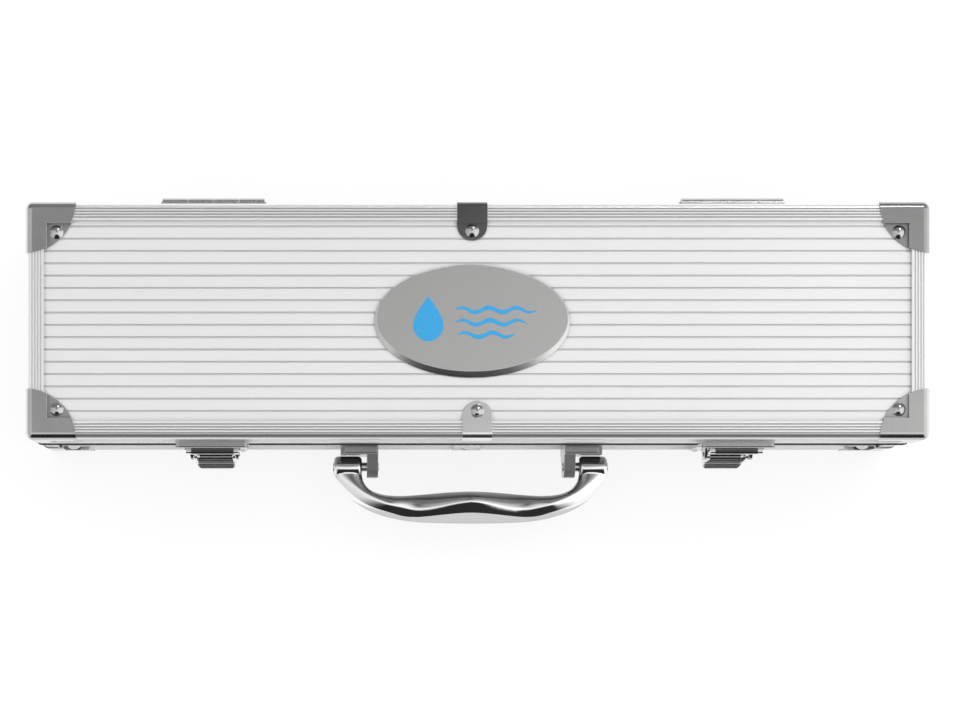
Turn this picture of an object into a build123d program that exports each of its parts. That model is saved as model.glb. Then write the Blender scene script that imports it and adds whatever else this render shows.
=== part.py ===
from build123d import *
import math
import os

# Water test kit in a small framed aluminium carry case, closed and standing on its base.
# +X runs along the length, -Y is the front (latches, handle), +Y the rear (hinges), +Z up.
# It is drawn about the centre of the case and moved on export, so that the origin is the
# centre of the whole object's footprint on the surface it rests on. Lengths are in mm.

# ---------------------------------------------------------------- driving dimensions
LENGTH = 380.0            # over the corner guards
WIDTH = 100.0
HEIGHT = 80.0
SPLIT_Z = 45.0            # parting line between base and lid

GUARD_T = 0.6             # sheet of the corner guards and edge clamps
PROFILE_T = 1.4           # wall of the extruded edge profiles
EDGE_R = 2.5              # outer radius of the edge profiles
BOARD_T = 3.0             # panels and walls
RIM_H = 8.0               # height of each rim profile
RIM_GAP = 0.05            # between the two rims

HINGE_Y = 54.4            # pivot line of the lid
KNUCKLE_R = 2.8
FITTING_X = 112.5         # hinges and latches, either side of the middle
HANDLE_REACH = 83.7       # front of the handle, forward of the case centre

AXIS_Z = 31.0             # height of the bottle axes
BOTTLE_R = 13.0
BOTTLE_X = (-165.0, -135.0, -105.0, -75.0)

# derived
HALF_L, HALF_W = LENGTH / 2, WIDTH / 2
SKIN = GUARD_T                       # profile face, in from the outer box
PANEL = GUARD_T + PROFILE_T          # board face, in from the outer box
GUARD_FACE = PANEL - GUARD_T         # outer face of a guard lying on a board
INSIDE = PANEL + BOARD_T             # inner face of the boards
SKIN_X, SKIN_Y = HALF_L - SKIN, HALF_W - SKIN
PANEL_X, PANEL_Y = HALF_L - PANEL, HALF_W - PANEL
INNER_X, INNER_Y = PANEL_X - BOARD_T, PANEL_Y - BOARD_T
RIM_END = {"lid": SPLIT_Z + RIM_H, "base": SPLIT_Z - RIM_H}
BOARD_END = {"lid": SPLIT_Z + 3.9, "base": SPLIT_Z - 1.4}    # wall edges inside the rims
FOOTPRINT_SHIFT = (HANDLE_REACH - (HINGE_Y + KNUCKLE_R)) / 2

UP = {"lid": 1, "base": -1}          # direction from the parting line into each half
SIDES = (1, -1)
PARTS = {}                           # piece name -> its solids
SHANKS = {"lid": [], "base": []}     # rivet shanks, used as drills


# ---------------------------------------------------------------- helpers
def box(x0, x1, y0, y1, z0, z1):
    """Box between two limits on each axis, in either order."""
    centre = Pos((x0 + x1) / 2, (y0 + y1) / 2, (z0 + z1) / 2)
    return centre * Box(abs(x1 - x0), abs(y1 - y0), abs(z1 - z0))


ON_BASE = (Align.CENTER, Align.CENTER, Align.MIN)


def rod(start, direction, radius, length):
    where = Plane(origin=start, z_dir=direction).location
    return where * Cylinder(radius, length, align=ON_BASE)


def rod_x(x, y, z, radius, length):
    return rod((x, y, z), (1, 0, 0), radius, length)


def rod_y(x, y, z, radius, length):
    return rod((x, y, z), (0, 1, 0), radius, length)


def rod_z(x, y, z, radius, length):
    return rod((x, y, z), (0, 0, 1), radius, length)


def outline(points):
    """Closed face in the XY plane; each point is (a, b) or (a, b, corner radius)."""
    corners = [(p[0], p[1], p[2] if len(p) > 2 else 0.0) for p in points]
    count = len(corners)
    ends, arcs = [], []
    for i, (x, y, radius) in enumerate(corners):
        if radius <= 0:
            ends.append(((x, y), (x, y)))
            arcs.append(None)
            continue
        back_x, back_y, _ = corners[i - 1]
        next_x, next_y, _ = corners[(i + 1) % count]
        back_len = math.hypot(back_x - x, back_y - y)
        next_len = math.hypot(next_x - x, next_y - y)
        back = ((back_x - x) / back_len, (back_y - y) / back_len)
        ahead = ((next_x - x) / next_len, (next_y - y) / next_len)
        cosine = back[0] * ahead[0] + back[1] * ahead[1]
        half = math.acos(max(-1, min(1, cosine))) / 2
        # a corner never takes more than about half of either side
        trim = min(radius / math.tan(half), 0.49 * back_len, 0.49 * next_len)
        radius = trim * math.tan(half)
        mid_x, mid_y = back[0] + ahead[0], back[1] + ahead[1]
        reach = (radius / math.sin(half) - radius) / math.hypot(mid_x, mid_y)
        first = (x + back[0] * trim, y + back[1] * trim)
        last = (x + ahead[0] * trim, y + ahead[1] * trim)
        ends.append((first, last))
        arcs.append((first, (x + mid_x * reach, y + mid_y * reach), last))
    edges = []
    for i in range(count):
        if arcs[i]:
            edges.append(ThreePointArc(*arcs[i]))
        start, end = ends[i][1], ends[(i + 1) % count][0]
        if math.hypot(start[0] - end[0], start[1] - end[1]) > 1e-6:
            edges.append(Line(start, end))
    return make_face(edges)


def along_x(points, x0, x1):
    """Profile in (y, z) run from x0 to x1."""
    plane = Plane(origin=(x0, 0, 0), x_dir=(0, 1, 0), z_dir=(1, 0, 0))
    return extrude(plane.location * outline(points), amount=x1 - x0)


def along_y(points, y0, y1):
    """Profile in (x, z) run from y0 to y1."""
    plane = Plane(origin=(0, y1, 0), x_dir=(1, 0, 0), z_dir=(0, -1, 0))
    return extrude(plane.location * outline(points), amount=y1 - y0)


def along_z(points, z0, z1):
    """Profile in (x, y) run from z0 to z1."""
    return extrude(Pos(0, 0, z0) * outline(points), amount=z1 - z0)


def flip(shape, side_x=1, side_y=1, side_z=1):
    """Mirror the shape across the origin on each axis whose side is -1."""
    if side_x < 0:
        shape = mirror(shape, about=Plane.YZ)
    if side_y < 0:
        shape = mirror(shape, about=Plane.XZ)
    if side_z < 0:
        shape = mirror(shape, about=Plane.XY)
    return shape


def boxes_meet(one, other):
    return (other.min.X < one.max.X and other.max.X > one.min.X
            and other.min.Y < one.max.Y and other.max.Y > one.min.Y
            and other.min.Z < one.max.Z and other.max.Z > one.min.Z)


def drill(shape, tools):
    """Cut the shape with each tool whose bounding box meets its own."""
    bounds = shape.bounding_box()
    for tool in [t for t in tools if boxes_meet(bounds, t.bounding_box())]:
        shape = shape - tool
    return shape


def add(name, *shapes):
    for shape in shapes:
        if isinstance(shape, (list, tuple)):
            add(name, *shape)
        else:
            PARTS.setdefault(name, []).extend(shape.solids())


def inset_z(half, depth):
    """Height of a level this far in from the top of the lid or the bottom of the base."""
    return HEIGHT - depth if half == "lid" else depth


# ---------------------------------------------------------------- rivets
SHANK_R = 1.25
GUARD_RIVET = (2.9, 1.3)             # head radius, head height
HINGE_RIVET = (2.3, 1.0)
KEEPER_RIVET = (1.9, 0.9)
LATCH_RIVET = (1.7, 0.8)
DRILL_OVER = 0.01                    # the drill starts this far outside the seat


def rivet(head, depth):
    """Domed head on z = 0 with its shank below."""
    radius, height = head
    dome_r = (radius * radius + height * height) / (2 * height)
    dome = (Pos(0, 0, height - dome_r) * Sphere(dome_r)) & box(-8, 8, -8, 8, 0, height + 1)
    return dome + rod((0, 0, 0), (0, 0, -1), SHANK_R, depth)


def fasten(half, seat, out, head, proud):
    """Rivet seated proud of the profile face and facing out; returns its shank as a drill."""
    depth = proud + PROFILE_T + BOARD_T
    add(half + "_rivets", Plane(origin=seat, z_dir=out).location * rivet(head, depth))
    start = tuple(seat[i] + out[i] * DRILL_OVER for i in range(3))
    shank = rod(start, tuple(-c for c in out), SHANK_R, depth + DRILL_OVER)
    SHANKS[half].append(shank)
    return shank


# ---------------------------------------------------------------- corner guards, edge clamps
GUARD_LEG = 8.0                      # raised part of a guard, over the profile leg
STEP_IN = SKIN + GUARD_LEG           # step down to the board, inner and outer surface
STEP_OUT = STEP_IN + GUARD_T
GUARD_R = 21.5                       # quarter-disc plates
GUARD_RIVET_LONG, GUARD_RIVET_SHORT = 13.2, 12.8
CLAMP_W = 12.6
CLAMP_REACH = 16.3
CLAMP_RIVET = 12.15
CLAMP_X = {("lid", 1): -2.3, ("lid", -1): -0.2, ("base", 1): -0.5, ("base", -1): -0.5}
CLIP_T = PANEL + 0.3                 # depth of the clipping discs
FAR, PAST = 40, 41                   # block size, well beyond a guard, and cuts past it


def corner_block(inset, radius, leg, depth):
    """Rounded case corner at the origin, stepped down by depth beyond each leg."""
    block = box(-FAR, -inset, -FAR, -inset, -FAR, -inset)
    tip = Vector(-inset, -inset, -inset)
    edges = [e for e in block.edges()
             if min((v.center() - tip).length for v in e.vertices()) < 1e-6]
    block = fillet(edges, radius)
    block -= box(-PAST, -leg, -PAST, -leg, -depth, 1)
    block -= box(-PAST, -leg, -depth, 1, -PAST, -leg)
    block -= box(-depth, 1, -PAST, -leg, -PAST, -leg)
    return block


def corner_guard():
    shell = (corner_block(0, EDGE_R + GUARD_T, STEP_OUT, GUARD_FACE)
             - corner_block(SKIN, EDGE_R, STEP_IN, PANEL))
    clip = rod_z(0, 0, -CLIP_T, GUARD_R, CLIP_T + 1)
    clip += rod_y(0, -CLIP_T, 0, GUARD_R, CLIP_T + 1)
    clip += rod_x(-CLIP_T, 0, 0, GUARD_R, CLIP_T + 1)
    return shell & clip


def edge_block(inset, radius, leg, depth):
    """Rounded case edge along X, stepped down by depth beyond each leg."""
    block = box(-12, 12, -FAR, -inset, -FAR, -inset)
    edges = [e for e in block.edges()
             if all(abs(v.Y + inset) < 1e-6 and abs(v.Z + inset) < 1e-6 for v in e.vertices())]
    block = fillet(edges, radius)
    block -= box(-13, 13, -PAST, -leg, -depth, 1)
    block -= box(-13, 13, -depth, 1, -PAST, -leg)
    return block


def edge_clamp():
    shell = (edge_block(0, EDGE_R + GUARD_T, STEP_OUT, GUARD_FACE)
             - edge_block(SKIN, EDGE_R, STEP_IN, PANEL))
    half_w = CLAMP_W / 2
    end = CLAMP_REACH - half_w       # centre of the rounded ends
    clip = box(-half_w, half_w, -end, 1, -CLIP_T, 1)
    clip += rod_z(0, -end, -CLIP_T, half_w, CLIP_T + 1)
    clip += box(-half_w, half_w, -CLIP_T, 1, -end, 1)
    clip += rod_y(0, -CLIP_T, -end, half_w, CLIP_T + 1)
    return shell & clip


def fit_guard(guard, half, side_x, side_y):
    """Guard with one rivet in each of its three plates."""
    long, short, up = GUARD_RIVET_LONG, GUARD_RIVET_SHORT, UP[half]
    seats = [((long, short, GUARD_FACE), (0, 0, up)),
             ((long, GUARD_FACE, short), (0, side_y, 0)),
             ((GUARD_FACE, short, long), (side_x, 0, 0))]
    drills = []
    for (dx, dy, dz), out in seats:
        seat = (side_x * (HALF_L - dx), side_y * (HALF_W - dy), inset_z(half, dz))
        drills.append(fasten(half, seat, out, GUARD_RIVET, SKIN - GUARD_FACE))
    corner = Pos(side_x * HALF_L, side_y * HALF_W, inset_z(half, 0))
    add(half + "_corner_guards", drill(corner * flip(guard, side_x, side_y, up), drills))


def fit_clamp(clamp, half, side_y):
    x, up = CLAMP_X[half, side_y], UP[half]
    seats = [((CLAMP_RIVET, GUARD_FACE), (0, 0, up)),
             ((GUARD_FACE, CLAMP_RIVET), (0, side_y, 0))]
    drills = []
    for (dy, dz), out in seats:
        seat = (x, side_y * (HALF_W - dy), inset_z(half, dz))
        drills.append(fasten(half, seat, out, GUARD_RIVET, SKIN - GUARD_FACE))
    placed = Pos(x, side_y * HALF_W, inset_z(half, 0)) * flip(clamp, 1, side_y, up)
    add(half + "_edge_clamps", drill(placed, drills))


GUARD, CLAMP = corner_guard(), edge_clamp()
for half in UP:
    for side_x in SIDES:
        for side_y in SIDES:
            fit_guard(GUARD, half, side_x, side_y)
    for side_y in SIDES:
        fit_clamp(CLAMP, half, side_y)


# ---------------------------------------------------------------- extruded edge profiles
LEG = 7.3                            # visible leg of an edge profile
FLUTE_AT = (2.4, 3.6, 4.8, 6.0)      # flutes across a leg, from its outer edge
FLUTE_W = 0.55
FLUTE_D = 0.4

CASE_SKIN = box(-SKIN_X, SKIN_X, -SKIN_Y, SKIN_Y, SKIN, HEIGHT - SKIN)
CASE_SKIN = fillet(CASE_SKIN.edges(), EDGE_R)
# the parts of the case nearest the front and the +X end, meeting in mitres
FRONT_ZONE = along_z([(-HALF_L, -HALF_W), (HALF_L, -HALF_W), (HALF_L - HALF_W, 0),
                      (-HALF_L + HALF_W, 0)], 0, HEIGHT)
END_ZONE = along_z([(HALF_L, -HALF_W), (HALF_L, HALF_W), (HALF_L - HALF_W, 0)], 0, HEIGHT)


def flute_points():
    """(distance along a leg, depth) of the flutes."""
    shape = ((-FLUTE_W / 2, 0), (-FLUTE_W / 4, FLUTE_D), (FLUTE_W / 4, FLUTE_D), (FLUTE_W / 2, 0))
    return [(at + offset, depth) for at in FLUTE_AT for offset, depth in shape]


def angle_profile():
    """Edge profile: corner at (0, 0), legs along -a and -b."""
    top = [(-at, -depth) for at, depth in flute_points()]
    down = [(-depth, -at) for at, depth in flute_points()]
    inside = [(-LEG, 0), (-LEG, -PROFILE_T), (-PROFILE_T, -PROFILE_T), (-PROFILE_T, -LEG),
              (0, -LEG)]
    return [(0, 0)] + top + inside + down[::-1]


def mitred(section):
    """Four bars meeting in mitres; section(face) gives (distance out, z) for a profile face."""
    front = along_x([(-p[0],) + tuple(p[1:]) for p in section(SKIN_Y)], -HALF_L, HALF_L)
    front = (front & FRONT_ZONE) & CASE_SKIN
    end = (along_y(section(SKIN_X), -HALF_W, HALF_W) & END_ZONE) & CASE_SKIN
    return [front, flip(front, side_y=-1), end, flip(end, side_x=-1)]


def edge_frame(half):
    skin_z = inset_z(half, SKIN)
    return mitred(lambda out: [(out + a, skin_z + UP[half] * b) for a, b in ANGLE])


def corner_post(half):
    """Upright profile at the +X +Y corner, between the edge frame and the rim."""
    z_ends = sorted((RIM_END[half], inset_z(half, SKIN) - UP[half] * LEG))
    return along_z([(SKIN_X + a, SKIN_Y + b) for a, b in ANGLE], *z_ends) & CASE_SKIN


def rim_section(half, out):
    """Grips the edge of the wall board; the base carries the tongue, the lid the groove."""
    board = out - PROFILE_T          # outer face of the wall board
    inner = board - BOARD_T
    lip = inner - 0.6
    up, end, board_z = UP[half], RIM_END[half], BOARD_END[half]
    z = SPLIT_Z + RIM_GAP if half == "lid" else SPLIT_Z
    face = [(out, end), (out, z + up * 5.0), (out - 0.35, z + up * 4.6),
            (out - 0.35, z + up * 4.2), (out, z + up * 3.8), (out, z, 0.5)]
    if half == "base":
        middle = [(board - 1.1, z), (board - 1.1, z + 2.5), (board - 1.9, z + 2.5),
                  (board - 1.9, z), (lip, z, 0.5), (lip, z - 6.0), (inner, z - 6.0)]
    else:
        middle = [(board - 0.8, z), (board - 0.8, z + 2.85), (lip, z + 2.85),
                  (lip, z + 7.0), (inner, z + 7.0)]
    return face + middle + [(inner, board_z), (board, board_z), (board, end)]


def rim_seal():
    """Strip under the parting line on the front and ends; the rear is left to the hinges."""
    strip = along_z([(-HALF_L, -HALF_W, EDGE_R + SKIN), (HALF_L, -HALF_W, EDGE_R + SKIN),
                     (HALF_L, 44.0), (-HALF_L, 44.0)], SPLIT_Z - 0.95, SPLIT_Z - 0.05)
    return strip - CASE_SKIN


ANGLE = angle_profile()
for half in UP:
    add(half + "_edge_frame", edge_frame(half))
    post = corner_post(half)
    for side_x in SIDES:
        for side_y in SIDES:
            add(half + "_corner_posts", flip(post, side_x, side_y))
    add(half + "_rim_profile", mitred(lambda out: rim_section(half, out)))
add("rim_seal", rim_seal())


# ---------------------------------------------------------------- hinges
HINGE_W = 44.5
HINGE_PIN_R = 1.25
HINGE_BORE_R = {"lid": 1.30, "base": HINGE_PIN_R}    # the pin turns in the lid leaf only
LEAF_T = 1.2
KNUCKLES = 4
KNUCKLE_GAP = 0.1                    # at each end of a knuckle
HINGE_RIVET_X = (-14.5, 0.0, 14.5)
HINGE_RIVET_Z = 17.0                 # from the parting line


def hinge_leaf(centre, half):
    """Joggled leaf on the rear face, with every second knuckle."""
    def z(rise):
        return SPLIT_Z + UP[half] * rise

    left, right = centre - HINGE_W / 2, centre + HINGE_W / 2
    leaf_y = SKIN_Y + LEAF_T
    leaf = along_x([(SKIN_Y, z(3.4)), (leaf_y, z(3.4)), (leaf_y, z(24.0)), (PANEL_Y, z(24.0)),
                    (PANEL_Y, z(8.05)), (SKIN_Y, z(8.05))], left, right)
    leaf &= along_y([(left, z(24.0), 3), (right, z(24.0), 3), (right, z(3.3)), (left, z(3.3))],
                    0, 80)
    arm = [(SKIN_Y, z(3.4)), (leaf_y, z(6.0)), (HINGE_Y, z(2.75)), (HINGE_Y, z(1.4)),
           (SKIN_Y + 1.6, z(1.4)), (SKIN_Y, z(1.4))]
    pitch = HINGE_W / KNUCKLES
    for k in range(0 if half == "base" else 1, KNUCKLES, 2):
        start = left + k * pitch + KNUCKLE_GAP
        end = left + (k + 1) * pitch - KNUCKLE_GAP
        leaf += (along_x(arm, start, end)
                 + rod_x(start, HINGE_Y, SPLIT_Z, KNUCKLE_R, end - start))
    leaf -= rod_x(centre - 40, HINGE_Y, SPLIT_Z, HINGE_BORE_R[half], 80)
    return leaf


for side in SIDES:
    centre = side * FITTING_X
    for half in UP:
        seat_z = SPLIT_Z + UP[half] * HINGE_RIVET_Z
        drills = [fasten(half, (centre + dx, SKIN_Y + LEAF_T, seat_z), (0, 1, 0),
                         HINGE_RIVET, LEAF_T) for dx in HINGE_RIVET_X]
        add(half + "_hinge_leaves", drill(hinge_leaf(centre, half), drills))
    add("hinge_pins", rod_x(centre - HINGE_W / 2 - 0.6, HINGE_Y, SPLIT_Z,
                            HINGE_PIN_R, HINGE_W + 1.2))


# ---------------------------------------------------------------- latches
# Latch points are (outward from the front profile face, z).
LEVER_PIVOT = (4.0, 34.0)
LINK_PIVOT = (3.2, 27.0)
LATCH_PIN_R = 1.0
LATCH_BORE_R = 1.05
BOARD_OUT = SKIN - PANEL             # the board face, behind the profile face
KEEPER_T = 1.0
KEEPER_HALF_W = 15.5
LATCH_PLATE_T = 1.2
LATCH_PLATE_HALF_W = 14.0
LEVER_HALF_W = 9.0
LINK_HALF_W = 7.2
HOOK_HALF_W = 11.3
KEEPER_RIVET_AT = (13.3, 58.8)       # from the latch centre, z
LATCH_RIVET_AT = (11.6, 16.6)


def front_run(points, x0, x1):
    """Profile in (outward, z) run from x0 to x1."""
    return along_x([(-SKIN_Y - p[0],) + tuple(p[1:]) for p in points], x0, x1)


def front_strip(points, centre, half_w):
    return front_run(points, centre - half_w, centre + half_w)


def cross_rod(centre, pivot, radius, half_len):
    out, z = pivot
    return rod_x(centre - half_len, -SKIN_Y - out, z, radius, 2 * half_len)


def keeper(centre):
    half_w = KEEPER_HALF_W
    left, right = centre - half_w, centre + half_w
    plate = front_strip([(0, 46.4), (KEEPER_T, 46.4, 0.4), (KEEPER_T, 63.0), (BOARD_OUT, 63.0),
                         (BOARD_OUT, RIM_END["lid"]), (0, RIM_END["lid"])], centre, half_w)
    plate += front_strip([(0.5, 61.0), (2.9, 61.0, 0.5), (2.9, 63.0, 0.8), (0.5, 63.0)],
                         centre, half_w)
    plate &= along_y([(left, 46.4, 2.5), (right, 46.4, 2.5), (right, 63.0, 1.6),
                      (left, 63.0, 1.6)], -60, 0)
    ledge = front_strip([(0.5, 53.2), (2.2, 52.4, 0.8), (3.4, 53.6, 0.8), (3.4, 56.0, 0.5),
                         (0.5, 56.0)], centre, 12.0)
    return plate + ledge


def latch_plate(centre):
    """Base plate with two ears that carry the lever pins."""
    half_w, thick = LATCH_PLATE_HALF_W, LATCH_PLATE_T
    left, right = centre - half_w, centre + half_w
    plate = front_strip([(BOARD_OUT, 12.6), (thick, 12.6, 0.4), (thick, 43.4, 0.4), (0, 43.4),
                         (0, RIM_END["base"]), (BOARD_OUT, RIM_END["base"])], centre, half_w)
    plate &= along_y([(left, 12.6, 4), (right, 12.6, 4), (right, 43.4, 2), (left, 43.4, 2)],
                     -60, 0)
    for side in SIDES:
        plate += front_run([(1.0, 28.0), (6.4, 31.0, 2.3), (6.4, 37.0, 2.3), (1.0, 40.0)],
                           *sorted((centre + side * 9.3, centre + side * 10.5)))
    plate -= cross_rod(centre, LEVER_PIVOT, LATCH_PIN_R, 20)
    return plate


def lever(centre):
    half_w = LEVER_HALF_W
    left, right = centre - half_w, centre + half_w
    cheek = [(1.6, 25.0, 1.5), (1.6, 36.0, 2.0), (6.2, 36.2, 2.0), (7.2, 24.6, 3.0),
             (9.0, 16.2, 0.6), (7.4, 15.6, 0.5), (4.6, 23.0, 1.5)]
    body, other = [front_run(cheek, *sorted((centre + side * 7.8, centre + side * half_w)))
                   for side in SIDES]
    body += other
    # sloping finger piece
    top_out, top_z, tip_out, tip_z = 7.3, 23.6, 9.1, 16.2
    body += front_strip([(top_out, top_z, 0.3), (tip_out, tip_z, 0.5), (7.8, 15.6, 0.4),
                         (6.0, 23.2, 0.3)], centre, half_w)
    # flange turned in across the finger piece, clear of the link's swing
    body += front_strip([(4.7, 23.9, 0.3), (6.6, 24.4, 0.3), (7.3, 23.2), (6.6, 22.6),
                         (4.7, 22.8, 0.3)], centre, half_w)
    # three ribs across the finger piece
    for k in range(3):
        down = 0.30 + 0.27 * k
        out = top_out + (tip_out - top_out) * down
        body += cross_rod(centre, (out - 0.05, top_z + (tip_z - top_z) * down), 0.55, 8.2)
    # round the corners seen from the front, then from above
    body &= along_y([(left, 14.5, 5.5), (right, 14.5, 5.5), (right, 40.0), (left, 40.0)],
                    -70, 0)
    tip = -SKIN_Y - 9.6
    body &= along_z([(left, -40.0), (right, -40.0), (right, tip, 3.4), (left, tip, 3.4)], 10, 45)
    body -= cross_rod(centre, LEVER_PIVOT, LATCH_BORE_R, 20)
    body -= cross_rod(centre, LINK_PIVOT, LATCH_PIN_R, 20)
    return body


def link(centre):
    """Strap from the lever up to a wider hook over the keeper's ledge."""
    hook = [(4.0, 56.2, 0.3), (1.9, 56.2), (1.9, 57.4, 0.4), (5.2, 57.4, 1.2)]
    strap = ([(2.6, 27.0), (2.6, 49.6, 1.0), (4.0, 51.4, 1.0)] + hook
             + [(5.2, 51.0, 1.0), (3.8, 49.2, 1.0), (3.8, 27.0)])
    body = front_strip(strap, centre, LINK_HALF_W)
    body += cross_rod(centre, LINK_PIVOT, 1.7, LINK_HALF_W)
    body += front_strip([(4.0, 52.0, 0.6)] + hook + [(5.2, 52.0, 0.6)], centre, HOOK_HALF_W)
    body -= cross_rod(centre, LINK_PIVOT, LATCH_BORE_R, 20)
    return body


def latch_rivets(half, centre, place, head, proud):
    dx, z = place
    return [fasten(half, (centre + side * dx, -SKIN_Y - proud, z), (0, -1, 0), head, proud)
            for side in (-1, 1)]


for name, side in (("left", -1), ("right", 1)):
    centre = side * FITTING_X
    drills = latch_rivets("lid", centre, KEEPER_RIVET_AT, KEEPER_RIVET, KEEPER_T)
    add("latch_keepers", drill(keeper(centre), drills))
    drills = latch_rivets("base", centre, LATCH_RIVET_AT, LATCH_RIVET, LATCH_PLATE_T)
    add("latch_base_plates", drill(latch_plate(centre), drills))
    for start in (centre - 10.9, centre + 7.6):
        add("latch_lever_pins", rod_x(start, -SKIN_Y - LEVER_PIVOT[0], LEVER_PIVOT[1],
                                      LATCH_PIN_R, 3.3))
    add(name + "_latch_lever", lever(centre))
    add(name + "_latch_link", link(centre))
    add(name + "_latch_link_pin", cross_rod(centre, LINK_PIVOT, LATCH_PIN_R, LEVER_HALF_W))


# ---------------------------------------------------------------- handle
HANDLE_Y, HANDLE_Z = -58.65, 28.0    # swing axis
EYE_R = 4.7
HANDLE_PIN_R = 2.0
HANDLE_BORE_R = 2.05
PIN_START, PIN_LEN = 40.5, 20.1
BRACKET_X0, BRACKET_X1 = 40.85, 57.4
LUG_X1 = 45.75

# left half of the plan outline (x, y), from the eye to the middle
HANDLE_OUTER = [
    (-60.2, -53.9), (-60.5, -58.6), (-59.9, -62.5), (-57.4, -66.9), (-52.9, -72.6),
    (-45.6, -77.6), (-36.7, -80.9), (-25.9, -82.9), (-12.0, -83.55), (0.0, -HANDLE_REACH)]
HANDLE_INNER = [
    (-47.9, -53.9), (-47.8, -60.0), (-46.9, -65.3), (-43.9, -68.8), (-38.6, -70.8),
    (-31.1, -71.4), (-22.2, -70.9), (-13.4, -70.1), (-6.8, -69.6), (0.0, -69.4)]


def bracket():
    """Bracket at +X: plate behind the eye, lug on its inner side."""
    plate_y = HANDLE_Y + EYE_R + 0.35
    rim_z = RIM_END["base"]
    body = along_x([(-PANEL_Y, 17.0), (plate_y, 17.0, 1.5), (plate_y, 39.0, 1.5),
                    (-SKIN_Y, 39.0), (-SKIN_Y, rim_z), (-PANEL_Y, rim_z)],
                   BRACKET_X0, BRACKET_X1)
    body &= along_y([(BRACKET_X0, 17.0, 1.0), (BRACKET_X1, 17.0, 3.0), (BRACKET_X1, 39.0, 3.0),
                     (BRACKET_X0, 39.0, 1.0)], -60, 0)
    body += along_x([(-50.0, 18.6), (-63.5, 22.8, 4.6), (-63.5, 33.2, 4.6), (-50.0, 37.4)],
                    BRACKET_X0, LUG_X1)
    body -= rod_x(30, HANDLE_Y, HANDLE_Z, HANDLE_PIN_R, 40)
    return body


def both_halves(points):
    return points + [(-x, y) for x, y in points[-2::-1]]


def handle():
    """Plan outline extruded, then cut to the side outline."""
    outer, inner = both_halves(HANDLE_OUTER), both_halves(HANDLE_INNER)
    plan = make_face([Spline(*outer), Line(outer[-1], inner[-1]), Spline(*inner[::-1]),
                      Line(inner[0], outer[0])])
    grip = extrude(Pos(0, 0, HANDLE_Z - 8) * plan, amount=16)
    y, z = HANDLE_Y, HANDLE_Z
    side = along_x([(y + EYE_R, z - EYE_R, EYE_R - 0.05), (y - 8.2, z - EYE_R, 4),
                    (-71.0, z - 7.2, 5), (-HANDLE_REACH, z - 7.2, 5.0),
                    (-HANDLE_REACH, z + 7.2, 5.0), (-71.0, z + 7.2, 5),
                    (y - 8.2, z + EYE_R, 4), (y + EYE_R, z + EYE_R, EYE_R - 0.05)], -70, 70)
    return (grip & side) - rod_x(-70, y, z, HANDLE_BORE_R, 140)


add("handle", handle())
add("handle_brackets", bracket(), flip(bracket(), -1))
for start in (PIN_START, -PIN_START - PIN_LEN):
    add("handle_pins", rod_x(start, HANDLE_Y, HANDLE_Z, HANDLE_PIN_R, PIN_LEN))


# ---------------------------------------------------------------- boards
GROOVE_PITCH = 5.17
GROOVE_W = 0.8
GROOVE_D = 0.35
PANEL_GROOVES = [39.7 - GROOVE_PITCH * k for k in range(16)]            # y
WALL_GROOVES = {                                                        # z
    "lid": [71.0 - GROOVE_PITCH * (k + 0.5) for k in range(3)],
    "base": [9.0 + GROOVE_PITCH * (k + 0.5) for k in range(5)]}


def groove_sections(places, face, out):
    """Trapezoids (across, through the face), cut in from the out side of the face."""
    half_w, floor_w = GROOVE_W / 2, GROOVE_W / 4
    top, floor = face + out * 0.05, face - out * GROOVE_D
    return [[(at - half_w, top), (at + half_w, top), (at + floor_w, floor),
             (at - floor_w, floor)] for at in places]


def panel(half):
    face = inset_z(half, PANEL)
    body = box(-PANEL_X, PANEL_X, -PANEL_Y, PANEL_Y, face, inset_z(half, INSIDE))
    for section in groove_sections(PANEL_GROOVES, face, UP[half]):
        body = body - along_x(section, -PANEL_X - 1, PANEL_X + 1)
    return drill(body, SHANKS[half])


def long_wall(half, side):
    body = box(-PANEL_X, PANEL_X, side * PANEL_Y, side * INNER_Y,
               BOARD_END[half], inset_z(half, INSIDE))
    for section in groove_sections(WALL_GROOVES[half], side * PANEL_Y, side):
        body = body - along_x([(y, z) for z, y in section], -PANEL_X - 1, PANEL_X + 1)
    return drill(body, SHANKS[half])


def end_wall(half, side):
    body = box(side * PANEL_X, side * INNER_X, -INNER_Y, INNER_Y,
               BOARD_END[half], inset_z(half, INSIDE))
    for section in groove_sections(WALL_GROOVES[half], side * PANEL_X, side):
        body = body - along_y([(x, z) for z, x in section], -INNER_Y - 1, INNER_Y + 1)
    return drill(body, SHANKS[half])


for half in UP:
    add(half + "_panel", panel(half))
    add(half + "_front_wall", long_wall(half, -1))
    add(half + "_rear_wall", long_wall(half, 1))
    add(half + "_end_walls", *[end_wall(half, side) for side in SIDES])


# ---------------------------------------------------------------- oval name plate and emblem
PLATE_HALF_L, PLATE_HALF_W = 41.25, 23.75
PLATE_T = 1.75
PLATE_X, PLATE_Y = -2.3, -0.2
PLATE_Z = HEIGHT - PANEL
EMBLEM_T = 0.12
# drop outline (x, y), closed
DROP = [(-18.5, 10.2), (-13.4, 2.6), (-12.2, -3.4), (-18.5, -8.6), (-24.8, -3.4),
        (-23.6, 2.6), (-18.5, 10.2)]
WAVE_SPANS = ((-7.5, 27.0), (-7.0, 23.0), (-6.0, 18.0))      # x from, x to; rear to front
WAVE_STEPS = 24


def name_plate():
    """Bears on the lands between the panel grooves, which stay open under it."""
    plate = extrude(Pos(PLATE_X, PLATE_Y, PLATE_Z) * Ellipse(PLATE_HALF_L, PLATE_HALF_W),
                    amount=PLATE_T)
    return chamfer(plate.faces().sort_by(Axis.Z)[-1].edges(), 1.1)


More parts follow.
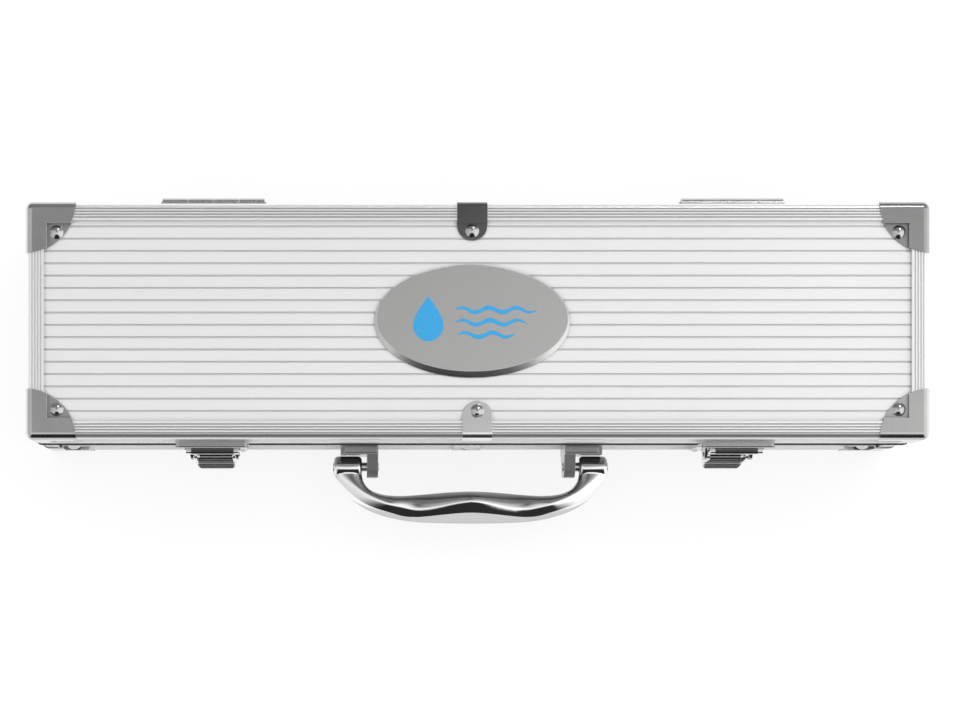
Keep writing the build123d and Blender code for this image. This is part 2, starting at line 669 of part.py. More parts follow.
def emblem(face):
    return extrude(Pos(PLATE_X, PLATE_Y, PLATE_Z + PLATE_T) * face, amount=EMBLEM_T)


def wave(x0, x1, y_mid):
    """Wavy stripe that narrows to both ends."""
    upper, lower = [], []
    for j in range(WAVE_STEPS + 1):
        t = j / WAVE_STEPS
        x = x0 + (x1 - x0) * t
        swell = math.sin(math.pi * t * 1.02) ** 0.5 if 0 < t < 1 else 0
        half_w = 0.85 * swell + 0.12
        y = y_mid + 0.95 * math.sin(2 * math.pi * (x - x0) / 11.5)
        upper.append((x, y + half_w))
        lower.append((x, y - half_w))
    return make_face([Spline(*upper), Line(upper[-1], lower[-1]), Spline(*lower[::-1]),
                      Line(lower[0], upper[0])])


add("name_plate", name_plate())
add("name_plate_emblem", emblem(make_face([Spline(*DROP)])))
for k, (x0, x1) in enumerate(WAVE_SPANS):
    add("name_plate_emblem", emblem(wave(x0, x1, 4.6 - 5.2 * k)))


# ---------------------------------------------------------------- foam
FOAM_X, FOAM_Y = INNER_X - 0.8, INNER_Y - 0.8
FOAM_INSET = INSIDE + 0.1
POCKET_Z = AXIS_Z - BOTTLE_R - 0.5
POCKETS = [(x - BOTTLE_R - 1, x + BOTTLE_R + 1, -38.5, 40.0, POCKET_Z) for x in BOTTLE_X]
POCKETS += [                         # x from, x to, y from, y to, floor
    (-50, 152, 6.5, 40.5, POCKET_Z),         # meter
    (-47, 44, -41.0, -8.5, POCKET_Z),        # comparator
    (48, 176, -31, -19, 21.0)]               # stirring rod


def foam_insert():
    foam = box(-FOAM_X, FOAM_X, -FOAM_Y, FOAM_Y, FOAM_INSET, 41.5)
    for x0, x1, y0, y1, floor in POCKETS:
        foam -= box(x0, x1, y0, y1, floor, 60)
    return foam


add("foam_insert", foam_insert())
add("lid_foam", box(-FOAM_X, FOAM_X, -FOAM_Y, FOAM_Y, 49.2, HEIGHT - FOAM_INSET))

# ---------------------------------------------------------------- reagent bottles, necks to +Y
BOTTLE_Y, SHOULDER_Y, MOUTH_Y = -37.0, 17.0, 27.0


def round_edges(shape):
    return shape.edges().filter_by(GeomType.CIRCLE)


def bottle(x):
    length = SHOULDER_Y - BOTTLE_Y
    body = rod_y(x, BOTTLE_Y, AXIS_Z, BOTTLE_R, length)
    body = fillet(round_edges(body), 2.5)
    body += (rod_y(x, SHOULDER_Y - 1, AXIS_Z, 6.5, 2.4)
             + rod_y(x, SHOULDER_Y, AXIS_Z, 5.6, MOUTH_Y - SHOULDER_Y))
    body -= rod_y(x, BOTTLE_Y + 1.2, AXIS_Z, BOTTLE_R - 1.4, length - 3.4)
    body -= rod_y(x, SHOULDER_Y - 4, AXIS_Z, 4.0, 40)
    return body


def dropper_tip(x):
    tip = rod_y(x, MOUTH_Y - 6, AXIS_Z, 3.98, 6) + rod_y(x, MOUTH_Y, AXIS_Z, 5.4, 1.0)
    nozzle = Plane(origin=(x, MOUTH_Y + 1, AXIS_Z), z_dir=(0, 1, 0)).location
    tip += nozzle * Cone(2.6, 1.3, 5.0, align=ON_BASE)
    tip -= rod_y(x, MOUTH_Y - 7, AXIS_Z, 0.6, 20)
    return tip


def bottle_label(x):
    return rod_y(x, -30, AXIS_Z, BOTTLE_R + 0.25, 36) - rod_y(x, -31, AXIS_Z, BOTTLE_R, 38)


def reagent_cap(x):
    """Screw cap, fluted round the rim, hollow for the neck and the dropper tip."""
    cap = rod_y(x, SHOULDER_Y + 2.0, AXIS_Z, 8.4, 18.0)
    cap = fillet(round_edges(cap).sort_by(Axis.Y)[-1:], 1.2)
    for j in range(20):
        angle = 2 * math.pi * j / 20
        cap -= rod_y(x + 8.75 * math.cos(angle), SHOULDER_Y, AXIS_Z + 8.75 * math.sin(angle),
                     0.62, 17.0)
    cap -= (rod_y(x, SHOULDER_Y, AXIS_Z, 6.0, MOUTH_Y + 1.6 - SHOULDER_Y)
            + rod_y(x, SHOULDER_Y, AXIS_Z, 3.2, MOUTH_Y + 7.2 - SHOULDER_Y))
    return cap


for k, x in enumerate(BOTTLE_X):
    add("reagent_bottles", bottle(x))
    add("dropper_tips", dropper_tip(x))
    add("bottle_labels", bottle_label(x))
    add("reagent_cap_%d" % (k + 1), reagent_cap(x))

# ---------------------------------------------------------------- comparator
COMP_X0, COMP_X1 = -45.0, 25.0
COMP_TOP = 38.0
CELL_Y, CELL_Z = (-32.0, -18.0), 28.0


def comparator():
    """Clear block with two sample cells, open at +X."""
    block = box(COMP_X0, COMP_X1, -39.5, -10.5, 18.0, COMP_TOP)
    block = fillet(block.edges().filter_by(Axis.X), 2.0)
    for y in CELL_Y:
        block -= rod_x(COMP_X0 + 8, y, CELL_Z, 5.5, 90)
    return block


def cell_cap(y):
    cap = rod_x(COMP_X1 + 0.1, y, CELL_Z, 6.6, 8.0) + rod_x(COMP_X1 - 7, y, CELL_Z, 5.45, 7.2)
    for j in range(12):
        angle = 2 * math.pi * j / 12
        cap -= rod_x(COMP_X1 + 1.6, y + 6.9 * math.cos(angle), CELL_Z + 6.9 * math.sin(angle),
                     0.8, 8.0)
    return cap


add("comparator_body", comparator())
add("comparator_scale_strips",
    box(COMP_X0 + 8, COMP_X1 - 6, -26.6, -23.4, COMP_TOP, COMP_TOP + 0.3))
for k, y in enumerate(CELL_Y):
    add("comparator_cell_cap_%d" % (k + 1), cell_cap(y))

# ---------------------------------------------------------------- meter, probe to +X
METER_X0, METER_X1 = -38.0, 82.0
METER_Y, METER_Z = 23.5, 29.0        # its long axis
METER_HALF_W, METER_HALF_H = 15, 11
BUTTONS = (("meter_power_button", METER_X0 + 82.0), ("meter_hold_button", METER_X0 + 98.0))


def meter_rod(x, radius, length, dy=0.0):
    return rod_x(x, METER_Y + dy, METER_Z, radius, length)


def window(top):
    """Display block from the floor of its recess up to top above the meter axis."""
    return box(METER_X0 + 36, METER_X0 + 70, METER_Y - 9, METER_Y + 9,
               METER_Z + 9.4, METER_Z + top)


def meter_body():
    body = box(METER_X0, METER_X1, METER_Y - METER_HALF_W, METER_Y + METER_HALF_W,
               METER_Z - METER_HALF_H, METER_Z + METER_HALF_H)
    body = fillet(body.edges().filter_by(Axis.X), 6.0)
    body -= meter_rod(METER_X0 - 1, 6.0, 26.0)
    body -= window(METER_HALF_H + 1)
    for _, x in BUTTONS:
        body -= rod_z(x, METER_Y, METER_Z + 6.0, 4.0, 6)
    body += meter_rod(METER_X1, 7.6, 2.0)
    body -= meter_rod(METER_X1 - 6, 5.0, 20)
    return body


def button(x):
    key = rod_z(x, METER_Y, METER_Z + 6.8, 3.9, 5.2)
    return fillet(round_edges(key).sort_by(Axis.Z)[-1:], 0.5)


def electrodes():
    """Stem with a hollow end that holds two pins."""
    stem = meter_rod(METER_X1 - 6, 4.98, 26)
    stem -= meter_rod(METER_X1 + 14, 3.8, 8)
    stem += meter_rod(METER_X1 + 13, 0.8, 6, -1.8) + meter_rod(METER_X1 + 13, 0.8, 6, 1.8)
    return stem


def probe_cap():
    cap = meter_rod(METER_X1 + 2.1, 9.0, 24.0)
    cap = fillet(round_edges(cap).sort_by(Axis.X)[-1:], 2.0)
    cap -= meter_rod(METER_X1, 5.05, 22.4)
    return cap


def battery_cap():
    """Plug with a slot across its outer face."""
    cap = meter_rod(METER_X0 - 5.1, 8.6, 5.0) + meter_rod(METER_X0 - 0.2, 5.94, 2.6)
    cap -= box(METER_X0 - 6, METER_X0 - 3.6, METER_Y - 7, METER_Y + 7,
               METER_Z - 0.9, METER_Z + 0.9)
    return cap


add("meter_body", meter_body())
for name, x in BUTTONS:
    add(name, button(x))
add("meter_display", window(METER_HALF_H))
add("meter_electrodes", electrodes())
add("meter_probe_cap", probe_cap())
add("meter_battery_cap", battery_cap())
for j in range(4):
    add("meter_batteries", meter_rod(METER_X0 + 2.7 + 5.5 * j, 5.8, 5.4))
add("stirring_rod", fillet(round_edges(rod_x(52, -25, 25.0, 3.0, 120)), 1.2))


# ---------------------------------------------------------------- one STEP file per piece
os.makedirs("parts", exist_ok=True)
for name, shapes in PARTS.items():
    moved = [s for shape in shapes for s in (Pos(0, FOOTPRINT_SHIFT, 0) * shape).solids()]
    piece = moved[0] if len(moved) == 1 else Compound(children=moved)
    export_step(piece, "parts/%s.step" % name)
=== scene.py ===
import math

import bmesh
import bpy
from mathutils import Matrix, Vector


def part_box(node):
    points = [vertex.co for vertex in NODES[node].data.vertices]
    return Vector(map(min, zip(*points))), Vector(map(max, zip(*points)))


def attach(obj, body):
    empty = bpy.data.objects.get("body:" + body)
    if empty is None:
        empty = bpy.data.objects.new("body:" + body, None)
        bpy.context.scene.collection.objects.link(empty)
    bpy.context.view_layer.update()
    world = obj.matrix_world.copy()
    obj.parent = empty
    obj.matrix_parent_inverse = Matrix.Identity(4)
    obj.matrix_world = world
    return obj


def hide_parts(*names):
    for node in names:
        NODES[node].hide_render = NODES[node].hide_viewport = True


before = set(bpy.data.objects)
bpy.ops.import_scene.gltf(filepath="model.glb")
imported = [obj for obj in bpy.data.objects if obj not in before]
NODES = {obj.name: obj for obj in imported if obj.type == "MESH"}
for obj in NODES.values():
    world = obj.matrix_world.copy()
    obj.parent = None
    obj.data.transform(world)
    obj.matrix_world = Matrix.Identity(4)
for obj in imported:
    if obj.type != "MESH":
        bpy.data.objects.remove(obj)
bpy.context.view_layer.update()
SCENE = bpy.context.scene
MM = 0.001


# ------------------------------------------------------------------ shader helpers
class Mat:
    """A small builder for node materials."""

    def __init__(self, name):
        self.m = bpy.data.materials.new(name)
        self.m.use_nodes = True
        self.t = self.m.node_tree
        self.t.nodes.clear()
        self.out = self.n("ShaderNodeOutputMaterial")
        self.b = self.n("ShaderNodeBsdfPrincipled")
        self.l(self.b.outputs["BSDF"], self.out.inputs["Surface"])
        self.tc = self.n("ShaderNodeTexCoord")
        self.obj = self.tc.outputs["Object"]
        self.rounded = None

    def n(self, kind, **props):
        node = self.t.nodes.new(kind)
        for k, v in props.items():
            setattr(node, k, v)
        return node

    def l(self, a, b):
        self.t.links.new(a, b)

    def put(self, socket, value):
        if isinstance(value, (int, float)):
            socket.default_value = value
        elif isinstance(value, (tuple, list)):
            v = list(value)
            if len(v) == 3 and socket.type == "RGBA":
                v.append(1.0)
            socket.default_value = v
        else:
            self.l(value, socket)

    def p(self, **kw):
        for k, v in kw.items():
            self.put(self.b.inputs[k.replace("_", " ")], v)
        return self

    def scale(self, x, y, z, vec=None):
        node = self.n("ShaderNodeMapping")
        node.inputs["Scale"].default_value = (x, y, z)
        self.l(vec or self.obj, node.inputs["Vector"])
        return node.outputs["Vector"]

    def noise(self, scale, detail=4.0, rough=0.55, vec=None, distortion=0.0):
        node = self.n("ShaderNodeTexNoise")
        node.inputs["Scale"].default_value = scale
        node.inputs["Detail"].default_value = detail
        node.inputs["Roughness"].default_value = rough
        node.inputs["Distortion"].default_value = distortion
        self.l(vec or self.obj, node.inputs["Vector"])
        return node.outputs["Fac"]

    def voronoi(self, scale, feature="F1", vec=None, out="Distance"):
        node = self.n("ShaderNodeTexVoronoi", feature=feature)
        node.inputs["Scale"].default_value = scale
        self.l(vec or self.obj, node.inputs["Vector"])
        return node.outputs[out]

    def math(self, op, a, b=None, c=None, clamp=False):
        node = self.n("ShaderNodeMath", operation=op, use_clamp=clamp)
        for i, v in enumerate((a, b, c)):
            if v is not None:
                self.put(node.inputs[i], v)
        return node.outputs[0]

    def ramp(self, fac, stops, interp="LINEAR"):
        node = self.n("ShaderNodeValToRGB")
        node.color_ramp.interpolation = interp
        els = node.color_ramp.elements
        while len(els) > len(stops):
            els.remove(els[-1])
        while len(els) < len(stops):
            els.new(0.5)
        for e, (pos, col) in zip(els, stops):
            e.position = pos
            e.color = tuple(col) + (1.0,) if len(col) == 3 else col
        self.l(fac, node.inputs["Fac"])
        return node.outputs["Color"]

    def range(self, fac, lo, hi, a=0.0, b=1.0, kind="SMOOTHSTEP"):
        node = self.n("ShaderNodeMapRange", interpolation_type=kind)
        for i, v in enumerate((fac, a, b, lo, hi)):
            self.put(node.inputs[i], v)
        return node.outputs[0]

    def mix(self, fac, a, b, blend="MIX"):
        node = self.n("ShaderNodeMix", data_type="RGBA", blend_type=blend)
        self.put(node.inputs[0], fac)
        self.put(node.inputs[6], a)
        self.put(node.inputs[7], b)
        return node.outputs[2]

    def sep(self, vec=None):
        node = self.n("ShaderNodeSeparateXYZ")
        self.l(vec or self.obj, node.inputs[0])
        return node.outputs

    def edge(self, radius, samples=4):
        """Softly rounded edges in the shading, for machined and pressed pieces."""
        node = self.n("ShaderNodeBevel", samples=samples)
        node.inputs["Radius"].default_value = radius
        self.rounded = node.outputs["Normal"]
        return self

    def bump(self, height, strength, distance):
        node = self.n("ShaderNodeBump")
        node.inputs["Strength"].default_value = strength
        node.inputs["Distance"].default_value = distance
        self.l(height, node.inputs["Height"])
        if self.rounded is not None:
            self.l(self.rounded, node.inputs["Normal"])
        self.rounded = node.outputs["Normal"]
        return self

    def hollow_shade(self, distance, lo, hi, floor_value, local=True):
        """Painted shade: 1 on open faces, down to floor_value in grooves and inside corners."""
        node = self.n("ShaderNodeAmbientOcclusion", samples=5, only_local=local)
        node.inputs["Distance"].default_value = distance
        return self.range(node.outputs["AO"], floor_value, 1.0, lo, hi)

    def wear(self, radius=0.0006):
        """0 on flats, towards 1 on sharp edges."""
        bev = self.n("ShaderNodeBevel", samples=4)
        bev.inputs["Radius"].default_value = radius
        geo = self.n("ShaderNodeNewGeometry")
        dot = self.n("ShaderNodeVectorMath", operation="DOT_PRODUCT")
        self.l(bev.outputs["Normal"], dot.inputs[0])
        self.l(geo.outputs["Normal"], dot.inputs[1])
        return self.range(dot.outputs["Value"], 1.0, 0.0, 0.72, 0.985)

    def done(self):
        if self.rounded is not None:
            self.l(self.rounded, self.b.inputs["Normal"])
        return self.m


def grey(v, tint=(1.0, 1.0, 1.0)):
    return (v * tint[0], v * tint[1], v * tint[2])


# ------------------------------------------------------------------ metals
def aluminium(name, level, rough, axis, edge=0.00012, tint=(1.0, 1.0, 1.0), metallic=1.0, groove_shade=0.5, seam=None, legs=False, seen=None, reach=0.0011):
    m = Mat(name)
    grain = m.noise(3.0, 2.0, 0.6, vec=m.scale(*{"x": (30, 3000, 3000), "y": (3000, 30, 3000), "z": (3000, 3000, 30)}[axis]))
    cloud = m.noise(14, 3, 0.5)
    speck = m.noise(1400, 2, 0.5)
    smear = m.noise(9, 4, 0.55, distortion=0.5)
    tone = m.math("MULTIPLY_ADD", grain, 0.05, m.math("MULTIPLY_ADD", cloud, 0.05, level - 0.05))
    tone = m.math("MULTIPLY_ADD", speck, 0.03, m.math("SUBTRACT", tone, 0.015))
    if legs:
        # painted shade in the flutes: deeper on the long front and rear legs than on the short end legs
        y = m.math("ABSOLUTE", m.math("SUBTRACT", m.sep()[1], CASE_Y))
        groove_shade = m.range(y, 0.80, groove_shade, 0.0405, 0.0420)
    # painted shade in grooves, flutes and inside corners
    tone = m.math("MULTIPLY", tone, m.hollow_shade(reach, 0.50, 0.97, groove_shade))
    if legs:
        # painted reflection: faces of the drawn edge turned to the front are darkened, standing for the dark that the
        # metal mirrors in front of it
        front = m.math("MULTIPLY", m.sep(m.tc.outputs["Normal"])[1], -1.0)
        front_dark_reflection = m.math("MULTIPLY", m.range(front, 0.0, 1.0, 0.10, 0.40), m.range(front, 1.0, 0.0, 0.80, 0.97))
        tone = m.math("MULTIPLY", tone, m.math("MULTIPLY_ADD", front_dark_reflection, -0.64, 1.0))
    if seen is not None:
        # painted shade on the panel next to the steps of the frame and other parts beside it
        tone = m.math("MULTIPLY", tone, m.hollow_shade(0.0020, 0.45, 0.90, seen, local=False))
    if seam is not None:
        # the dark line of the joint between lid and base
        z = m.sep()[2]
        gap = m.range(m.math("ABSOLUTE", m.math("SUBTRACT", z, seam)), 0.0, 1.0, 0.00035, 0.00075)
        tone = m.math("MULTIPLY", tone, m.math("MULTIPLY_ADD", gap, 0.94, 0.06))
    col = m.mix(tone, grey(0.0), grey(1.0, tint))
    m.p(Base_Color=col, Metallic=metallic,
        Roughness=m.math("MULTIPLY_ADD", smear, 0.06, m.math("MULTIPLY_ADD", grain, 0.05, rough - 0.055)))
    m.edge(edge)
    m.bump(grain, 0.035, 0.00003)
    m.bump(speck, 0.05, 0.00003)
    return m.done()


def steel(name, level, rough, edge=0.0002, tint=(1.0, 1.0, 0.99), scratch=0.5, crevice_shade=None, metallic=1.0):
    m = Mat(name)
    cloud = m.noise(60, 5, 0.6, distortion=0.3)
    fine = m.noise(650, 3, 0.6)
    hair = m.noise(4.0, 2.0, 0.5, vec=m.scale(60, 1600, 1600))
    hair2 = m.noise(4.0, 2.0, 0.5, vec=m.scale(1400, 90, 1400))
    lines = m.range(m.math("MULTIPLY", hair, hair2), 0.0, 1.0, 0.30, 0.42)
    edge_wear = m.wear()
    tone = m.math("MULTIPLY_ADD", cloud, 0.14, level - 0.07)
    tone = m.math("MULTIPLY_ADD", lines, 0.06 * scratch, tone)
    tone = m.math("MULTIPLY_ADD", edge_wear, 0.22, tone)
    if crevice_shade is not None:
        # painted shade round the rivet heads and in the corners next to other parts
        tone = m.math("MULTIPLY", tone, m.hollow_shade(0.0026, 0.35, 0.95, crevice_shade, local=False))
        # painted light: the end faces lighter; painted shade: the rear right corner darker
        ends = m.range(m.math("ABSOLUTE", m.sep(m.tc.outputs["Normal"])[0]), 0.0, 1.0, 0.30, 0.75)
        tone = m.math("MULTIPLY_ADD", ends, 0.26, tone)
        corner_shade = m.math("MULTIPLY", m.range(m.sep()[0], 0.0, 1.0, 0.120, 0.150), m.range(m.sep()[1], 0.0, 1.0, CASE_Y, CASE_Y + 0.02))
        tone = m.math("MULTIPLY", tone, m.math("MULTIPLY_ADD", corner_shade, -0.30, 1.0))
    m.p(Base_Color=m.mix(tone, grey(0.0), grey(1.0, tint)), Metallic=metallic,
        Roughness=m.math("MULTIPLY_ADD", cloud, 0.14, m.math("MULTIPLY_ADD", lines, 0.10 * scratch, rough - 0.09)))
    m.edge(edge)
    m.bump(fine, 0.04, 0.00003)
    m.bump(lines, 0.06 * scratch, 0.00002)
    return m.done()


def chrome(name, level=0.86, rough=0.045, edge=0.0003, grip=False, tiers=None):
    m = Mat(name)
    smudge = m.noise(70, 5, 0.6, distortion=0.8)
    patch = m.noise(16, 3, 0.5)
    pit = m.voronoi(900)
    pits = m.range(pit, 1.0, 0.0, 0.0, 0.10)
    spot = m.math("MULTIPLY", pits, m.range(m.noise(40, 2, 0.5), 0.0, 1.0, 0.60, 0.70))
    base = grey(level, (0.985, 0.99, 1.0))
    if grip:
        # painted shade by facing: darker on the palm side, full chrome on the flanks, a little darker on the outer face
        facing_y = m.sep(m.tc.outputs["Normal"])[1]
        base = m.ramp(m.math("MULTIPLY_ADD", facing_y, 0.5, 0.5), [(0.0, grey(0.50)), (0.145, grey(0.60, (0.98, 0.985, 1.0))),
            (0.165, grey(0.90)), (0.497, grey(0.90)), (0.53, grey(0.52)), (0.64, grey(0.31)), (0.92, grey(0.28)), (1.0, grey(0.22))])
    if tiers is not None:
        # painted reflections: dark and bright bands across the tiers of the latch, set by position on its upward faces,
        # plain chrome at its ends
        lo, hi, centres, half = tiers
        t = m.range(m.sep()[1], 0.0, 1.0, hi, lo, "LINEAR")
        band = m.ramp(m.math("MULTIPLY_ADD", smudge, 0.02, m.math("SUBTRACT", t, 0.01)), TIER_PAINTED_BANDS)
        off = m.math("MINIMUM", *[m.math("ABSOLUTE", m.math("SUBTRACT", m.sep()[0], c)) for c in centres])
        up = m.range(m.sep(m.tc.outputs["Normal"])[2], 0.0, 1.0, 0.12, 0.45)
        ends = m.range(off, 1.0, 0.0, half - 0.0004, half + 0.0003)
        base = m.mix(m.math("MULTIPLY", up, ends), grey(0.80), band)
    col = m.mix(m.math("MULTIPLY", spot, 0.5), base, grey(0.35))
    m.p(Base_Color=col, Metallic=1.0,
        Roughness=m.math("MULTIPLY_ADD", m.math("MULTIPLY", smudge, patch), 0.10, rough))
    m.edge(edge, 6)
    m.bump(smudge, 0.003, 0.00004)
    m.bump(spot, 0.06, 0.00002)
    return m.done()


SPLIT_Z = 0.5 * (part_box("lid_rim_profile")[0].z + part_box("base_rim_profile")[1].z)
CASE_Y = 0.5 * (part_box("lid_corner_guards")[0].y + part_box("lid_corner_guards")[1].y)
PANEL = aluminium("panel_aluminium", 0.925, 0.46, "x", edge=0.00040, metallic=0.66, groove_shade=0.88, seen=0.72, reach=0.0018)
PROFILE = aluminium("profile_aluminium", 0.95, 0.36, "x", edge=0.00010, metallic=0.74, groove_shade=0.50, legs=True)
RIM = aluminium("rim_aluminium", 0.94, 0.28, "x", edge=0.00010, metallic=0.85, groove_shade=0.55, seam=SPLIT_Z)
PROFILE_Z = aluminium("profile_aluminium_z", 0.92, 0.30, "z", edge=0.00012, metallic=0.92, groove_shade=0.45)
GUARD = steel("guard_steel", 0.53, 0.18, crevice_shade=0.42)
RIVET = steel("rivet_steel", 0.58, 0.10, edge=0.0001, scratch=0.2)
HINGE = steel("hinge_steel", 0.66, 0.26, edge=0.00015)
PIN = steel("pin_steel", 0.60, 0.25, edge=0.0001, scratch=0.2)
# tones of the painted reflection bands across the latch tiers
TIER_PAINTED_BANDS = [(0.0, grey(0.30)), (0.16, grey(0.22)), (0.24, grey(0.03)), (0.30, grey(0.26)), (0.36, grey(0.06)), (0.42, grey(0.22)),
              (0.50, grey(0.03)), (0.56, grey(0.20)), (0.62, grey(0.04)), (0.70, grey(0.30)), (0.78, grey(0.14)), (0.84, grey(0.32)), (0.90, grey(0.08)), (1.0, grey(0.24))]
LATCH_X = []
for side in ("left", "right"):
    lo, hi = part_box(side + "_latch_lever")
    LATCH_X.append(0.5 * (lo.x + hi.x))
LATCH_Y = (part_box("left_latch_lever")[0].y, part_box("latch_keepers")[1].y)
CHROME = chrome("latch_chrome", 0.48, 0.12, 0.00025)
LEVER = chrome("lever_chrome", 0.40, 0.10, 0.00025, tiers=(LATCH_Y[0], LATCH_Y[1], LATCH_X, 0.0078))
LINK = chrome("link_chrome", 0.40, 0.10, 0.00025, tiers=(LATCH_Y[0], LATCH_Y[1], LATCH_X, 0.0092))
HANDLE_CHROME = chrome("handle_chrome", 0.90, 0.02, 0.00015, grip=True)
BRACKET = steel("bracket_chrome", 0.31, 0.20, edge=0.0003, scratch=0.6, metallic=0.62)


def clamp_material():
    """Mid-edge clamps: plated strip, with painted shade running from light at the front to dark on the hinge side."""
    m = Mat("clamp_steel")
    y = m.sep()[1]
    lo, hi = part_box("lid_edge_clamps")
    t = m.range(y, 0.0, 1.0, lo.y, hi.y, "LINEAR")
    cloud = m.noise(90, 4, 0.6, distortion=0.4)
    fine = m.noise(900, 2, 0.5)
    # painted shade: tone set by position, light at the front edge, dark towards the hinge
    tone = m.ramp(t, [(0.0, grey(0.96)), (0.12, grey(0.95)), (0.5, grey(0.7)), (0.80, grey(0.44)), (0.86, grey(0.19)), (1.0, grey(0.15))])
    shade = m.mix(m.math("MULTIPLY", cloud, 0.25), tone, grey(0.35))
    m.p(Base_Color=shade, Metallic=1.0, Roughness=m.math("MULTIPLY_ADD", cloud, 0.12, 0.15))
    m.edge(0.0002)
    m.bump(fine, 0.04, 0.00003)
    return m.done()


CLAMP = clamp_material()


def name_plate_material():
    m = Mat("plate_steel")
    grain = m.noise(3.0, 2.0, 0.55, vec=m.scale(30, 2600, 2600))
    cloud = m.noise(30, 3, 0.6)
    tone = m.math("MULTIPLY_ADD", grain, 0.018, m.math("MULTIPLY_ADD", cloud, 0.03, 0.70))
    m.p(Base_Color=m.mix(tone, grey(0.0), grey(1.0, (1.0, 0.995, 0.985))), Metallic=1.0,
        Roughness=m.math("MULTIPLY_ADD", grain, 0.03, 0.235))
    m.bump(grain, 0.006, 0.00001)
    return m.done()


PLATE = name_plate_material()


def emblem_material():
    m = Mat("emblem_enamel")
    fleck = m.noise(1200, 2, 0.5)
    col = m.mix(fleck, (0.022, 0.28, 0.58), (0.038, 0.36, 0.70))
    m.p(Base_Color=col, Roughness=0.22, Coat_Weight=0.5, Coat_Roughness=0.05)
    m.edge(0.00008)
    m.bump(m.noise(300, 2, 0.5), 0.08, 0.00004)
    return m.done()


EMBLEM = emblem_material()


# ------------------------------------------------------------------ soft and plastic materials
def foam_material():
    m = Mat("foam")
    cell = m.voronoi(1500)
    cell2 = m.voronoi(780, vec=m.scale(1.0, 1.07, 0.93))
    cloud = m.noise(35, 4, 0.6)
    lint = m.range(m.voronoi(120), 1.0, 0.0, 0.0, 0.05)
    pore = m.math("MULTIPLY", m.range(cell, 0.0, 1.0, 0.10, 0.62), m.range(cell2, 0.25, 1.0, 0.08, 0.55))
    col = m.mix(pore, (0.010, 0.010, 0.011), (0.085, 0.085, 0.090))
    col = m.mix(m.math("MULTIPLY", cloud, 0.35), col, (0.055, 0.055, 0.060))
    col = m.mix(m.math("MULTIPLY", lint, 0.25), col, (0.30, 0.30, 0.30))
    m.p(Base_Color=col, Roughness=0.95, Sheen_Weight=0.35, Sheen_Roughness=0.6, Specular_IOR_Level=0.15)
    m.bump(pore, 0.9, 0.0005)
    m.bump(cloud, 0.3, 0.0008)
    return m.done()


def plastic(name, color, rough=0.38, grain=0.25, sss=0.0, spec=0.5):
    m = Mat(name)
    tex = m.noise(1500, 2, 0.5)
    tex2 = m.voronoi(1300, "SMOOTH_F1")
    cloud = m.noise(50, 4, 0.6)
    edge_wear = m.wear(0.0005)
    dark = tuple(c * 0.82 for c in color)
    lite = tuple(min(1.0, c * 1.25 + 0.03) for c in color)
    col = m.mix(cloud, dark, color)
    col = m.mix(m.math("MULTIPLY", edge_wear, 0.5), col, lite)
    m.p(Base_Color=col, Roughness=m.math("MULTIPLY_ADD", cloud, 0.14, rough - 0.07), Specular_IOR_Level=spec)
    if sss:
        m.p(Subsurface_Weight=sss, Subsurface_Scale=0.002, Subsurface_Radius=(1.0, 0.9, 0.8))
    m.edge(0.0003)
    m.bump(tex, grain, 0.00006)
    m.bump(tex2, grain * 0.6, 0.00005)
    return m.done()


def glass(name, tint=(0.93, 0.97, 0.98), rough=0.03, ior=1.49, clear=0.92):
    m = Mat(name)
    cloud = m.noise(60, 3, 0.5)
    m.p(Base_Color=m.mix(cloud, tint, tuple(min(1.0, c * 1.02) for c in tint)), Roughness=m.math("MULTIPLY_ADD", cloud, 0.05, rough),
        IOR=ior, Transmission_Weight=clear)
    m.edge(0.0003)
    m.bump(m.noise(200, 2, 0.5), 0.05, 0.0001)
    return m.done()


def label_material():
    """Plain label: white with coloured bands, one colour per bottle, and no lettering."""
    m = Mat("label_paper")
    x, y, z = m.sep()[:3]
    lo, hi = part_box("bottle_labels")
    t = m.range(y, 0.0, 1.0, lo.y, hi.y, "LINEAR")
    u = m.range(x, 0.0, 1.0, lo.x, hi.x, "LINEAR")
    hue = m.ramp(u, [(0.0, (0.62, 0.03, 0.03)), (0.25, (0.80, 0.52, 0.02)), (0.5, (0.02, 0.12, 0.52)), (0.75, (0.03, 0.33, 0.10))], "CONSTANT")
    band = m.ramp(t, [(0.0, (1, 1, 1)), (0.10, (0, 0, 0)), (0.68, (1, 1, 1)), (0.90, (0, 0, 0)), (0.94, (1, 1, 1)), (0.965, (0, 0, 0))], "CONSTANT")
    fibre = m.noise(900, 4, 0.6)
    paper = m.mix(fibre, (0.84, 0.84, 0.82), (0.93, 0.93, 0.92))
    m.p(Base_Color=m.mix(band, paper, hue), Roughness=m.math("MULTIPLY_ADD", fibre, 0.15, 0.38), Coat_Weight=0.25, Coat_Roughness=0.2)
    m.bump(fibre, 0.15, 0.00005)
    return m.done()


def scale_material():
    """Row of colour standards, pale to deep, parted by thin white lines."""
    m = Mat("scale_print")
    x = m.sep()[0]
    lo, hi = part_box("comparator_scale_strips")
    t = m.range(x, 0.0, 1.0, lo.x, hi.x, "LINEAR")
    col = m.ramp(t, [(0.0, (0.90, 0.80, 0.42)), (0.142, (0.88, 0.66, 0.26)), (0.285, (0.84, 0.47, 0.20)), (0.428, (0.78, 0.30, 0.19)),
                     (0.571, (0.70, 0.17, 0.20)), (0.714, (0.58, 0.09, 0.22)), (0.857, (0.42, 0.05, 0.22))], "CONSTANT")
    saw = m.math("FRACT", m.math("MULTIPLY", t, 7.0))
    line = m.math("ADD", m.math("LESS_THAN", saw, 0.06), m.math("GREATER_THAN", saw, 0.94), clamp=True)
    grainy = m.noise(1500, 2, 0.5)
    m.p(Base_Color=m.mix(line, m.mix(m.math("MULTIPLY", grainy, 0.2), col, (0.9, 0.85, 0.8)), (0.88, 0.88, 0.86)), Roughness=0.35)
    m.bump(grainy, 0.1, 0.00003)
    return m.done()


